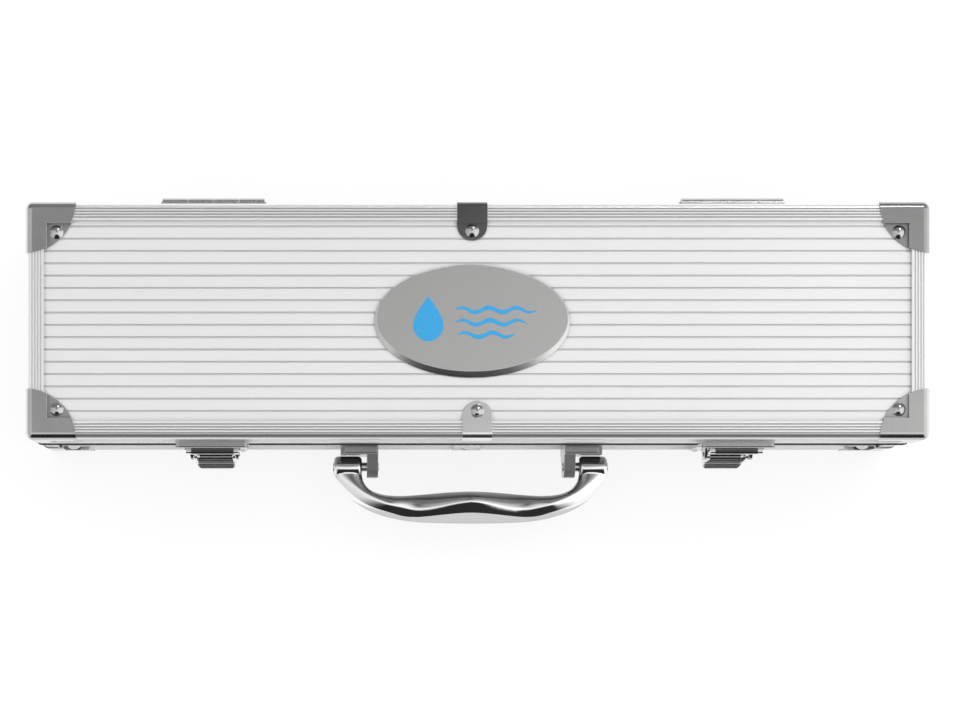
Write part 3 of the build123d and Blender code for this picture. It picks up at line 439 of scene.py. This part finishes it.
def display_material():
    """Liquid-crystal window: grey-green field in a dark surround, switched off."""
    m = Mat("display_glass")
    lo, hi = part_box("meter_display")
    x, y = m.sep()[0], m.sep()[1]
    cx, cy = (lo.x + hi.x) / 2, (lo.y + hi.y) / 2
    dx = m.math("ABSOLUTE", m.math("SUBTRACT", x, cx))
    dy = m.math("ABSOLUTE", m.math("SUBTRACT", y, cy))
    inside = m.math("MULTIPLY", m.math("LESS_THAN", dx, (hi.x - lo.x) / 2 - 0.0026), m.math("LESS_THAN", dy, (hi.y - lo.y) / 2 - 0.0026))
    field = m.mix(m.noise(70, 3, 0.5), (0.30, 0.34, 0.27), (0.37, 0.41, 0.33))
    m.p(Base_Color=m.mix(inside, (0.015, 0.015, 0.017), field), Roughness=0.12, Coat_Weight=1.0, Coat_Roughness=0.03)
    m.edge(0.0003)
    m.bump(m.noise(600, 2, 0.5), 0.03, 0.00004)
    return m.done()


FOAM = foam_material()
BOTTLE = plastic("bottle_plastic", (0.83, 0.85, 0.86), 0.42, 0.12, sss=0.35)
LABEL = label_material()
CAPS = [plastic("cap_red", (0.62, 0.025, 0.02), 0.34), plastic("cap_yellow", (0.80, 0.50, 0.02), 0.34),
        plastic("cap_blue", (0.015, 0.10, 0.50), 0.34), plastic("cap_green", (0.02, 0.30, 0.08), 0.34)]
ACRYLIC = glass("clear_acrylic", clear=0.80)
SCALE = scale_material()
BLACK = plastic("stopper_black", (0.028, 0.028, 0.031), 0.55, 0.35)
SHELL = plastic("meter_shell", (0.86, 0.55, 0.03), 0.42, 0.35)
CAPBLACK = plastic("meter_cap_plastic", (0.035, 0.035, 0.040), 0.40, 0.30)
RUBBER = plastic("button_rubber", (0.05, 0.05, 0.055), 0.70, 0.45, spec=0.3)
DISPLAY = display_material()
CELL = steel("electrode_steel", 0.64, 0.22, edge=0.0002, scratch=0.4)
GLASS = glass("rod_glass", (0.90, 0.94, 0.95), 0.10, 1.5, clear=0.38)


# ------------------------------------------------------------------ materials on the CAD nodes
def paint(material, *names):
    for n in names:
        o = NODES[n]
        o.data.materials.clear()
        o.data.materials.append(material)


paint(PANEL, "lid_panel", "lid_front_wall", "lid_rear_wall", "base_panel", "base_front_wall", "base_rear_wall", "lid_end_walls", "base_end_walls")
paint(PROFILE_Z, "lid_corner_posts", "base_corner_posts")
paint(PROFILE, "lid_edge_frame", "base_edge_frame")
paint(RIM, "lid_rim_profile", "base_rim_profile")
paint(GUARD, "lid_corner_guards", "base_corner_guards")
paint(CLAMP, "lid_edge_clamps", "base_edge_clamps")
paint(RIVET, "lid_rivets", "base_rivets")
paint(EMBLEM, "name_plate_emblem")
paint(HINGE, "lid_hinge_leaves", "base_hinge_leaves")
paint(PIN, "hinge_pins", "latch_lever_pins", "left_latch_link_pin", "right_latch_link_pin", "handle_pins")
paint(CHROME, "latch_keepers", "latch_base_plates")
paint(LINK, "left_latch_link", "right_latch_link")
paint(LEVER, "left_latch_lever", "right_latch_lever")
paint(BRACKET, "handle_brackets")
paint(BOTTLE, "reagent_bottles", "dropper_tips")
paint(LABEL, "bottle_labels")
for k in range(4):
    paint(CAPS[k], "reagent_cap_%d" % (k + 1))
paint(ACRYLIC, "comparator_body")
paint(SCALE, "comparator_scale_strips")
paint(BLACK, "comparator_cell_cap_1", "comparator_cell_cap_2", "meter_battery_cap")
paint(SHELL, "meter_body")
paint(CAPBLACK, "meter_probe_cap")
paint(RUBBER, "meter_power_button", "meter_hold_button", *[n for n in ("rim_seal",) if n in NODES])
paint(DISPLAY, "meter_display")
paint(CELL, "meter_electrodes", "meter_batteries")
paint(GLASS, "stirring_rod")


# ------------------------------------------------------------------ mesh helpers
def new_piece(name, bm, material, smooth=True):
    me = bpy.data.meshes.new(name)
    bmesh.ops.recalc_face_normals(bm, faces=bm.faces)
    bm.to_mesh(me)
    bm.free()
    o = bpy.data.objects.new(name, me)
    SCENE.collection.objects.link(o)
    me.materials.append(material)
    for p in me.polygons:
        p.use_smooth = smooth
    return o


def apply_modifiers(o):
    dg = bpy.context.evaluated_depsgraph_get()
    dg.update()
    me = bpy.data.meshes.new_from_object(o.evaluated_get(dg))
    old = o.data
    o.modifiers.clear()
    o.data = me
    bpy.data.meshes.remove(old)
    return o


def sharpen(o, angle=35):
    o.data.set_sharp_from_angle(angle=math.radians(angle))


def catmull(points, n):
    """n points evenly spaced along a smooth curve through the given points."""
    pts = [Vector(p) for p in points]
    ext = [pts[0] * 2 - pts[1]] + pts + [pts[-1] * 2 - pts[-2]]
    dense = []
    for i in range(1, len(ext) - 2):
        p0, p1, p2, p3 = ext[i - 1], ext[i], ext[i + 1], ext[i + 2]
        for j in range(24):
            t = j / 24
            dense.append(0.5 * ((2 * p1) + (p2 - p0) * t + (2 * p0 - 5 * p1 + 4 * p2 - p3) * t * t
                                + (3 * p1 - p0 - 3 * p2 + p3) * t ** 3))
    dense.append(pts[-1])
    dist = [0.0]
    for a, b in zip(dense, dense[1:]):
        dist.append(dist[-1] + (b - a).length)
    out, k = [], 0
    for i in range(n):
        d = dist[-1] * i / (n - 1)
        while k < len(dist) - 2 and dist[k + 1] < d:
            k += 1
        f = 0 if dist[k + 1] == dist[k] else (d - dist[k]) / (dist[k + 1] - dist[k])
        out.append(dense[k].lerp(dense[k + 1], min(1.0, f)))
    return out


def smooth01(t):
    t = max(0.0, min(1.0, t))
    return t * t * (3 - 2 * t)


# ------------------------------------------------------------------ handle
def spread(table, a):
    """Straight-line reading of a table of (position, value)."""
    for (a0, v0), (a1, v1) in zip(table, table[1:]):
        if a <= a1:
            return v0 + (v1 - v0) * (a - a0) / (a1 - a0)
    return table[-1][1]


SLOPE_MID = [(0, 2), (0.22, 11), (0.42, 19), (0.9, 38), (1, 45)]
SLOPE_GRIP = [(0, 3), (0.05, 11), (0.14, 17), (0.75, 25), (0.93, 38), (1, 45)]
SLOPE_RIM = [(0, 47.5), (0.80, 50), (1, 74)]
RIDGE = [(0, 0.46), (0.08, 0.36), (0.16, 0.28), (0.24, 0.28), (0.34, 0.36), (0.46, 0.46), (0.58, 0.52), (0.70, 0.50), (0.85, 0.40), (1.0, 0.29)]
THICK = [(0, 3.85), (0.08, 4.15), (0.20, 4.9), (0.34, 5.5), (0.50, 5.9), (1.0, 6.8)]
LENS = [(0, 0.3), (0.30, 0.3), (0.42, 0.6), (0.55, 1.3), (0.68, 2.5), (0.82, 3.9), (0.92, 4.6), (1.0, 4.85)]


def eased(table, a):
    """Smoothed reading of a table."""
    d = 0.05
    w = ((-2, 1), (-1, 2), (0, 3), (1, 2), (2, 1))
    return sum(k * spread(table, min(1.0, max(0.0, a + i * d))) for i, k in w) / 9


def handle_section(t, width):
    """Upper half of the grip's section: (0 inner .. 1 outer, height in mm)."""
    ridge = eased(RIDGE, t)
    grip = smooth01((t - 0.50) / 0.45)
    flank_w = width * (1 - ridge)
    rim = min(0.75, eased(LENS, t) / flank_w)       # share of the flank taken by its steep lower face
    steps = 44
    pos = [i / steps for i in range(steps + 1)]

    def slope(u):
        knee = 1 - rim
        a = min(1.0, u / knee)
        before = spread(SLOPE_MID, a) * (1 - grip) + spread(SLOPE_GRIP, a) * grip
        return before if u <= knee else spread(SLOPE_RIM, (u - knee) / rim)

    z, drop = 0.0, [0.0]
    for a, b in zip(pos, pos[1:]):
        deg = sum(slope(a + (b - a) * (i + 0.5) / 4) for i in range(4)) / 4
        z += math.tan(math.radians(deg)) * (b - a) * flank_w
        drop.append(z)
    free = smooth01((t - 0.40) / 0.30)
    height = eased(THICK, t) * (1 - free) + min(z, 8.4) * free
    flank = [(ridge + (1 - ridge) * u, height * (1 - d / z)) for u, d in zip(pos, drop)]
    # near the eyes the section is a plain rounded bar
    plain = 1 - smooth01((t - 0.02) / 0.20)
    flank = [(a, z0 * (1 - plain) + plain * height * max(0.0, 1 - ((a - ridge) / (1 - ridge)) ** 3.0) ** (1 / 3.0)) for a, z0 in flank]
    inner = []
    for i in range(17):
        ang = math.pi / 2 * i / 16
        p = 2.5 + 0.3 * plain
        inner.append((ridge * (1 - math.cos(ang) ** (2 / p)), height * math.sin(ang) ** (2 / p)))
    return inner[:-1] + flank


def build_handle():
    lo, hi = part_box("handle")
    pin_lo, pin_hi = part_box("handle_pins")
    axis_y, axis_z = (pin_lo.y + pin_hi.y) / 2, (pin_lo.z + pin_hi.z) / 2
    reach = axis_y - lo.y                      # 25.05 mm from the swing axis to the grip's far side
    half_w = (hi.x - lo.x) / 2
    eye_r = hi.y - axis_y
    # plan outlines of the left half, in mm from the swing axis and the centre line
    s = reach / 0.02505
    k = half_w / 0.0605
    outer = [(-60.3, -1.6), (-60.4, -4.4), (-57.7, -8.4), (-52.9, -14.0), (-45.6, -18.95), (-36.7, -22.2), (-25.9, -24.2), (-12.0, -24.9), (0.0, -25.05)]
    inner = [(-47.9, -1.6), (-47.7, -4.6), (-46.6, -7.4), (-43.9, -10.2), (-38.6, -12.15), (-31.1, -12.75), (-22.2, -12.25), (-13.4, -11.45), (-6.8, -10.95), (0.0, -10.75)]
    n = 72
    o_pts = catmull([(x * k * MM, y * s * MM, 0) for x, y in outer], n)
    i_pts = catmull([(x * k * MM, y * s * MM, 0) for x, y in inner], n)
    bm = bmesh.new()
    rings = []
    total = 2 * n - 1
    for j in range(total):
        left = j < n
        q = j if left else total - 1 - j
        t = q / (n - 1)                       # 0 at the eye, 1 at the centre
        sx = 1 if left else -1
        I, O = i_pts[q], o_pts[q]
        I, O = Vector((I.x * sx, I.y, 0)), Vector((O.x * sx, O.y, 0))
        width = (O - I).length / (k * MM)
        ring = []
        half = handle_section(t, width)
        loop = half + [(a, -z) for a, z in half[-2:0:-1]]
        for a, z in loop:
            pt = I.lerp(O, a)
            ring.append(bm.verts.new((pt.x, axis_y + pt.y, axis_z + z * MM)))
        rings.append(ring)
    m = len(rings[0])
    for r0, r1 in zip(rings, rings[1:]):
        for a in range(m):
            b = (a + 1) % m
            bm.faces.new((r0[a], r0[b], r1[b], r1[a]))
    bm.faces.new(rings[0][::-1])
    bm.faces.new(rings[-1])
    grip = new_piece("handle_grip", bm, HANDLE_CHROME)

    # each eye: a turned barrel on the swing axis with rounded ends
    R, rc, bore = eye_r, 1.7 * MM, 2.05 * MM
    x_in, x_out = 47.9 * k * MM, 60.15 * k * MM
    prof = []
    for c in range(7):
        a = math.pi / 2 * c / 6
        prof.append((x_in + rc - rc * math.cos(a), R - rc + rc * math.sin(a)))
    for c in range(7):
        a = math.pi / 2 * c / 6
        prof.append((x_out - rc + rc * math.sin(a), R - rc + rc * math.cos(a)))
    prof += [(x_out, bore + 0.5 * MM), (x_out - 0.35 * MM, bore), (x_in + 0.35 * MM, bore), (x_in, bore + 0.5 * MM)]
    tools = []
    for sx in (1, -1):
        bm = bmesh.new()
        seg = 64
        cols = []
        for a in range(seg):
            ang = 2 * math.pi * a / seg
            cols.append([bm.verts.new((sx * x, axis_y + r * math.cos(ang), axis_z + r * math.sin(ang))) for x, r in prof])
        for a in range(seg):
            c0, c1 = cols[a], cols[(a + 1) % seg]
            for i in range(len(prof)):
                j = (i + 1) % len(prof)
                bm.faces.new((c0[i], c0[j], c1[j], c1[i]))
        tools.append(new_piece("eye_tool", bm, HANDLE_CHROME))
    # clear the bores out of the grip's ends, then join the eyes on
    for sx in (1, -1):
        bm = bmesh.new()
        bmesh.ops.create_cone(bm, cap_ends=True, segments=64, radius1=2.5 * MM, radius2=2.5 * MM, depth=16 * MM)
        for v in bm.verts:
            v.co = Vector((v.co.z + sx * 54 * k * MM, axis_y + v.co.x, axis_z + v.co.y))
        cutter = new_piece("bore_tool", bm, HANDLE_CHROME)
        mod = grip.modifiers.new("bore", "BOOLEAN")
        mod.operation, mod.object, mod.solver = "DIFFERENCE", cutter, "EXACT"
        tools.append(cutter)
    for t in tools[:2]:
        mod = grip.modifiers.new("eye", "BOOLEAN")
        mod.operation, mod.object, mod.solver = "UNION", t, "EXACT"
    apply_modifiers(grip)
    for t in tools:
        bpy.data.objects.remove(t)
    for p in grip.data.polygons:
        p.use_smooth = True
    sharpen(grip, 42)
    grip.name = "handle_grip"
    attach(grip, "handle")
    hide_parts("handle")
    return grip


build_handle()


# ------------------------------------------------------------------ name plate
def build_plate():
    lo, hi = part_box("name_plate")
    cx, cy = (lo.x + hi.x) / 2, (lo.y + hi.y) / 2
    a, b = (hi.x - lo.x) / 2, (hi.y - lo.y) / 2
    t = hi.z - lo.z
    bm = bmesh.new()
    seg = 160
    # The flat face sits a little towards the rear, so the sloping edge is widest along the front.
    # (0 at the rim .. 1 at the flat face, height)
    prof = [(-0.02, 0.0), (-0.005, 0.00010), (0.0, 0.00022), (0.0, 0.00034), (0.03, 0.00052)]
    for i in range(1, 9):
        u = i / 8
        prof.append((0.03 + 0.87 * u, 0.00052 + (t - 0.00058) * (1.12 * u - 0.12 * u * u) * 0.96))
    prof = [(u, min(z, t - 0.00002)) for u, z in prof] + [(0.95, t - 0.00001), (1.0, t), (1.06, t)]
    rings = []
    for u, z in prof:
        ring = []
        shift = 0.0010 * max(0.0, u)
        ra, rb = a - 0.0012 * u, b - 0.0017 * u
        if u < 0:
            ra, rb = a - 0.0005, b - 0.0005
        for i in range(seg):
            ang = 2 * math.pi * i / seg
            ring.append(bm.verts.new((cx + ra * math.cos(ang), cy + shift + rb * math.sin(ang), lo.z + z)))
        rings.append(ring)
    for r0, r1 in zip(rings, rings[1:]):
        for i in range(seg):
            j = (i + 1) % seg
            bm.faces.new((r0[i], r0[j], r1[j], r1[i]))
    bm.faces.new(rings[0][::-1])
    bm.faces.new(rings[-1])
    o = new_piece("name_plate_rolled", bm, PLATE)
    sharpen(o, 40)
    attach(o, "lid")
    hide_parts("name_plate")


build_plate()


# ------------------------------------------------------------------ foam
def build_lid_foam():
    lo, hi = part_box("lid_foam")
    nx, ny = 232, 56
    pitch = 0.0245
    amp = 0.0048
    bm = bmesh.new()
    low, top = [], []
    for j in range(ny + 1):
        y = lo.y + (hi.y - lo.y) * j / ny
        row, row2 = [], []
        for i in range(nx + 1):
            x = lo.x + (hi.x - lo.x) * i / nx
            w = 0.5 - 0.25 * (math.cos(2 * math.pi * x / pitch) + math.cos(2 * math.pi * y / pitch))
            edge = min(x - lo.x, hi.x - x, y - lo.y, hi.y - y)
            soft = 0.0022 * (1 - smooth01(edge / 0.004))
            wob = 0.00025 * math.sin(610 * x + 1.3) * math.sin(540 * y + 0.4)
            row.append(bm.verts.new((x, y, lo.z + amp * w + soft + wob + 0.0003)))
            row2.append(bm.verts.new((x, y, hi.z)))
        low.append(row)
        top.append(row2)
    for j in range(ny):
        for i in range(nx):
            bm.faces.new((low[j][i], low[j + 1][i], low[j + 1][i + 1], low[j][i + 1]))
            bm.faces.new((top[j][i], top[j][i + 1], top[j + 1][i + 1], top[j + 1][i]))
    for i in range(nx):
        bm.faces.new((low[0][i], low[0][i + 1], top[0][i + 1], top[0][i]))
        bm.faces.new((low[ny][i + 1], low[ny][i], top[ny][i], top[ny][i + 1]))
    for j in range(ny):
        bm.faces.new((low[j + 1][0], low[j][0], top[j][0], top[j + 1][0]))
        bm.faces.new((low[j][nx], low[j + 1][nx], top[j + 1][nx], top[j][nx]))
    o = new_piece("lid_foam_eggcrate", bm, FOAM)
    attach(o, "lid")
    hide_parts("lid_foam")


def build_foam_insert():
    src = NODES["foam_insert"]
    bm = bmesh.new()
    bm.from_mesh(src.data)
    bmesh.ops.remove_doubles(bm, verts=bm.verts, dist=1e-6)
    c = (sum(v.co.x for v in bm.verts) / len(bm.verts), sum(v.co.y for v in bm.verts) / len(bm.verts))
    o = new_piece("foam_insert_cut", bm, FOAM)
    mod = o.modifiers.new("remesh", "REMESH")
    mod.mode = "VOXEL"
    mod.voxel_size = 0.0013
    mod.use_smooth_shade = True
    sm = o.modifiers.new("soft", "SMOOTH")
    sm.factor, sm.iterations = 0.5, 4
    apply_modifiers(o)
    me = o.data
    for v in me.vertices:
        x, y, z = v.co
        w = 0.00018 * math.sin(330 * x + 0.7) * math.sin(410 * y + 1.9) + 0.00010 * math.sin(900 * x + 500 * y + 700 * z)
        v.co.z = z + w
    for p in me.polygons:
        p.use_smooth = True
    o.name = "foam_insert_cut"
    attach(o, "base")
    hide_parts("foam_insert")


build_lid_foam()
build_foam_insert()


# ------------------------------------------------------------------ floor, light, camera
def floor_material():
    m = Mat("floor_paper")
    cloud = m.noise(6, 3, 0.5)
    m.p(Base_Color=m.mix(cloud, (0.18, 0.18, 0.18), (0.20, 0.20, 0.20)), Roughness=0.8, Specular_IOR_Level=0.0,
        Emission_Color=(1.0, 1.0, 1.0), Emission_Strength=0.82)
    m.bump(m.noise(500, 3, 0.6), 0.05, 0.0002)
    # clear from below, so that the underside of the case can be looked at
    geo = m.n("ShaderNodeNewGeometry")
    below = m.math("LESS_THAN", m.sep(geo.outputs["Incoming"])[2], 0.0)
    clear = m.n("ShaderNodeBsdfTransparent")
    both = m.n("ShaderNodeMixShader")
    m.l(below, both.inputs[0])
    m.l(m.b.outputs["BSDF"], both.inputs[1])
    m.l(clear.outputs["BSDF"], both.inputs[2])
    m.l(both.outputs[0], m.out.inputs["Surface"])
    return m.done()


bm = bmesh.new()
bmesh.ops.create_circle(bm, cap_ends=True, segments=96, radius=6.0)
floor = new_piece("floor", bm, floor_material(), smooth=False)

world = bpy.data.worlds.new("studio")
SCENE.world = world
world.use_nodes = True
wt = world.node_tree
wt.nodes.clear()


class WorldNodes(Mat):
    def __init__(self, tree):
        self.t = tree
        self.tc = self.n("ShaderNodeTexCoord")
        self.obj = self.tc.outputs["Generated"]
        self.rounded = None


w = WorldNodes(wt)
wx, wy, wz = w.sep()[:3]


def facing(x, y, z, inner, outer):
    """1 inside inner degrees of a direction, 0 outside outer degrees."""
    l = math.sqrt(x * x + y * y + z * z)
    dot = w.math("ADD", w.math("MULTIPLY", wx, x / l), w.math("MULTIPLY_ADD", wy, y / l, w.math("MULTIPLY", wz, z / l)))
    return w.range(dot, 0.0, 1.0, math.cos(math.radians(outer)), math.cos(math.radians(inner)))


def off_axis(x, y, z):
    """Angle from a direction, in degrees."""
    l = math.sqrt(x * x + y * y + z * z)
    dot = w.math("ADD", w.math("MULTIPLY", wx, x / l), w.math("MULTIPLY_ADD", wy, y / l, w.math("MULTIPLY", wz, z / l)))
    return w.math("MULTIPLY", w.math("ARCCOSINE", dot), 180 / math.pi)


# studio seen in the metal: a grey patch overhead, black flags in front, grey wall behind, white walls at the sides
level = w.math("MINIMUM", w.math("MULTIPLY_ADD", wx, 0.45, 1.05), 1.17)
back = w.math("MULTIPLY", w.range(wy, 0.0, 1.0, 0.18, 0.60), w.range(wz, 1.0, 0.0, 0.88, 0.98))
level = w.math("MULTIPLY", level, w.math("MULTIPLY_ADD", back, -0.70, 1.0))
over = w.range(off_axis(0.0, 0.21, 1.0), 1.0, 0.0, 2.0, 25.0, "LINEAR")
level = w.math("MULTIPLY", level, w.math("MULTIPLY_ADD", over, -0.78, 1.0))
ahead = w.math("DIVIDE", w.math("MULTIPLY", wy, -1.0), w.math("SQRT", w.math("MAXIMUM", w.math("SUBTRACT", 1.0001, w.math("MULTIPLY", wz, wz)), 0.0001)))
flag = w.math("MULTIPLY", w.range(ahead, 0.0, 1.0, 0.72, 0.93), w.range(wz, 1.0, 0.0, 0.84, 0.95))
level = w.math("MULTIPLY", level, w.math("MULTIPLY_ADD", flag, -0.975, 1.0))
key = facing(0.30, 0.66, 0.69, 4, 8)
level = w.math("MULTIPLY_ADD", key, 8.0, level)
bg = w.n("ShaderNodeBackground")
w.l(w.mix(1.0, (1.0, 1.0, 1.0), level, "MULTIPLY"), bg.inputs["Color"])
bg.inputs["Strength"].default_value = 1.0
soft = w.n("ShaderNodeBackground")
soft.inputs["Color"].default_value = (1.0, 1.0, 1.0, 1.0)
soft.inputs["Strength"].default_value = 1.06
plain = w.n("ShaderNodeBackground")
plain.inputs["Color"].default_value = (0.97, 0.97, 0.97, 1.0)
plain.inputs["Strength"].default_value = 1.0
path = w.n("ShaderNodeLightPath")
mixer = w.n("ShaderNodeMixShader")
w.l(path.outputs["Is Diffuse Ray"], mixer.inputs[0])
w.l(bg.outputs[0], mixer.inputs[1])
w.l(soft.outputs[0], mixer.inputs[2])
mixer2 = w.n("ShaderNodeMixShader")
w.l(path.outputs["Is Camera Ray"], mixer2.inputs[0])
w.l(mixer.outputs[0], mixer2.inputs[1])
w.l(plain.outputs[0], mixer2.inputs[2])
wout = w.n("ShaderNodeOutputWorld")
w.l(mixer2.outputs[0], wout.inputs["Surface"])
world.cycles.sampling_method = "NONE"


def area(name, loc, target, size, size_y, power, color=(1, 1, 1)):
    ld = bpy.data.lights.new(name, "AREA")
    ld.shape, ld.size, ld.size_y, ld.energy, ld.color = "RECTANGLE", size, size_y, power, color
    o = bpy.data.objects.new(name, ld)
    SCENE.collection.objects.link(o)
    o.location = loc
    o.rotation_mode = "QUATERNION"
    o.rotation_quaternion = (Vector(target) - Vector(loc)).to_track_quat("-Z", "Y")
    return o


top = area("softbox", (0.7, 0.9, 2.0), (0.0, 0.0, 0.05), 1.6, 1.2, 12.0)
top.visible_glossy = False

cam_data = bpy.data.cameras.new("camera")
cam = bpy.data.objects.new("camera", cam_data)
SCENE.collection.objects.link(cam)
rest_lo, rest_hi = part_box("lid_corner_guards")
case_cy = (rest_lo.y + rest_hi.y) / 2
CAM_X = -0.062
cam.location = (CAM_X, case_cy - 0.113, 0.95 + rest_hi.z)
cam.rotation_euler = (0.0, 0.0, 0.0)
cam_data.sensor_width = 36.0
cam_data.lens = 85.0
cam_data.clip_start, cam_data.clip_end = 0.05, 30.0
# The lens is shifted, as on a view camera, so that the lid stays square in the frame. The shift holds only at this
# station, so that other views of the model are centred.
for path_name, amount in (("shift_x", 150 / 960), ("shift_y", 230 / 960)):
    d = cam_data.driver_add(path_name).driver
    d.type = "SCRIPTED"
    v = d.variables.new()
    v.name = "x"
    v.type = "TRANSFORMS"
    v.targets[0].id = cam
    v.targets[0].transform_type = "LOC_X"
    v.targets[0].transform_space = "WORLD_SPACE"
    d.expression = "%.6f if abs(x + 0.062) < 0.00001 else 0.0" % amount
SCENE.camera = cam

SCENE.view_settings.view_transform = "Standard"
SCENE.view_settings.look = "None"
SCENE.view_settings.exposure = 0.0
SCENE.cycles.max_bounces = 10
SCENE.cycles.caustics_reflective = False
SCENE.cycles.sample_clamp_indirect = 6.0
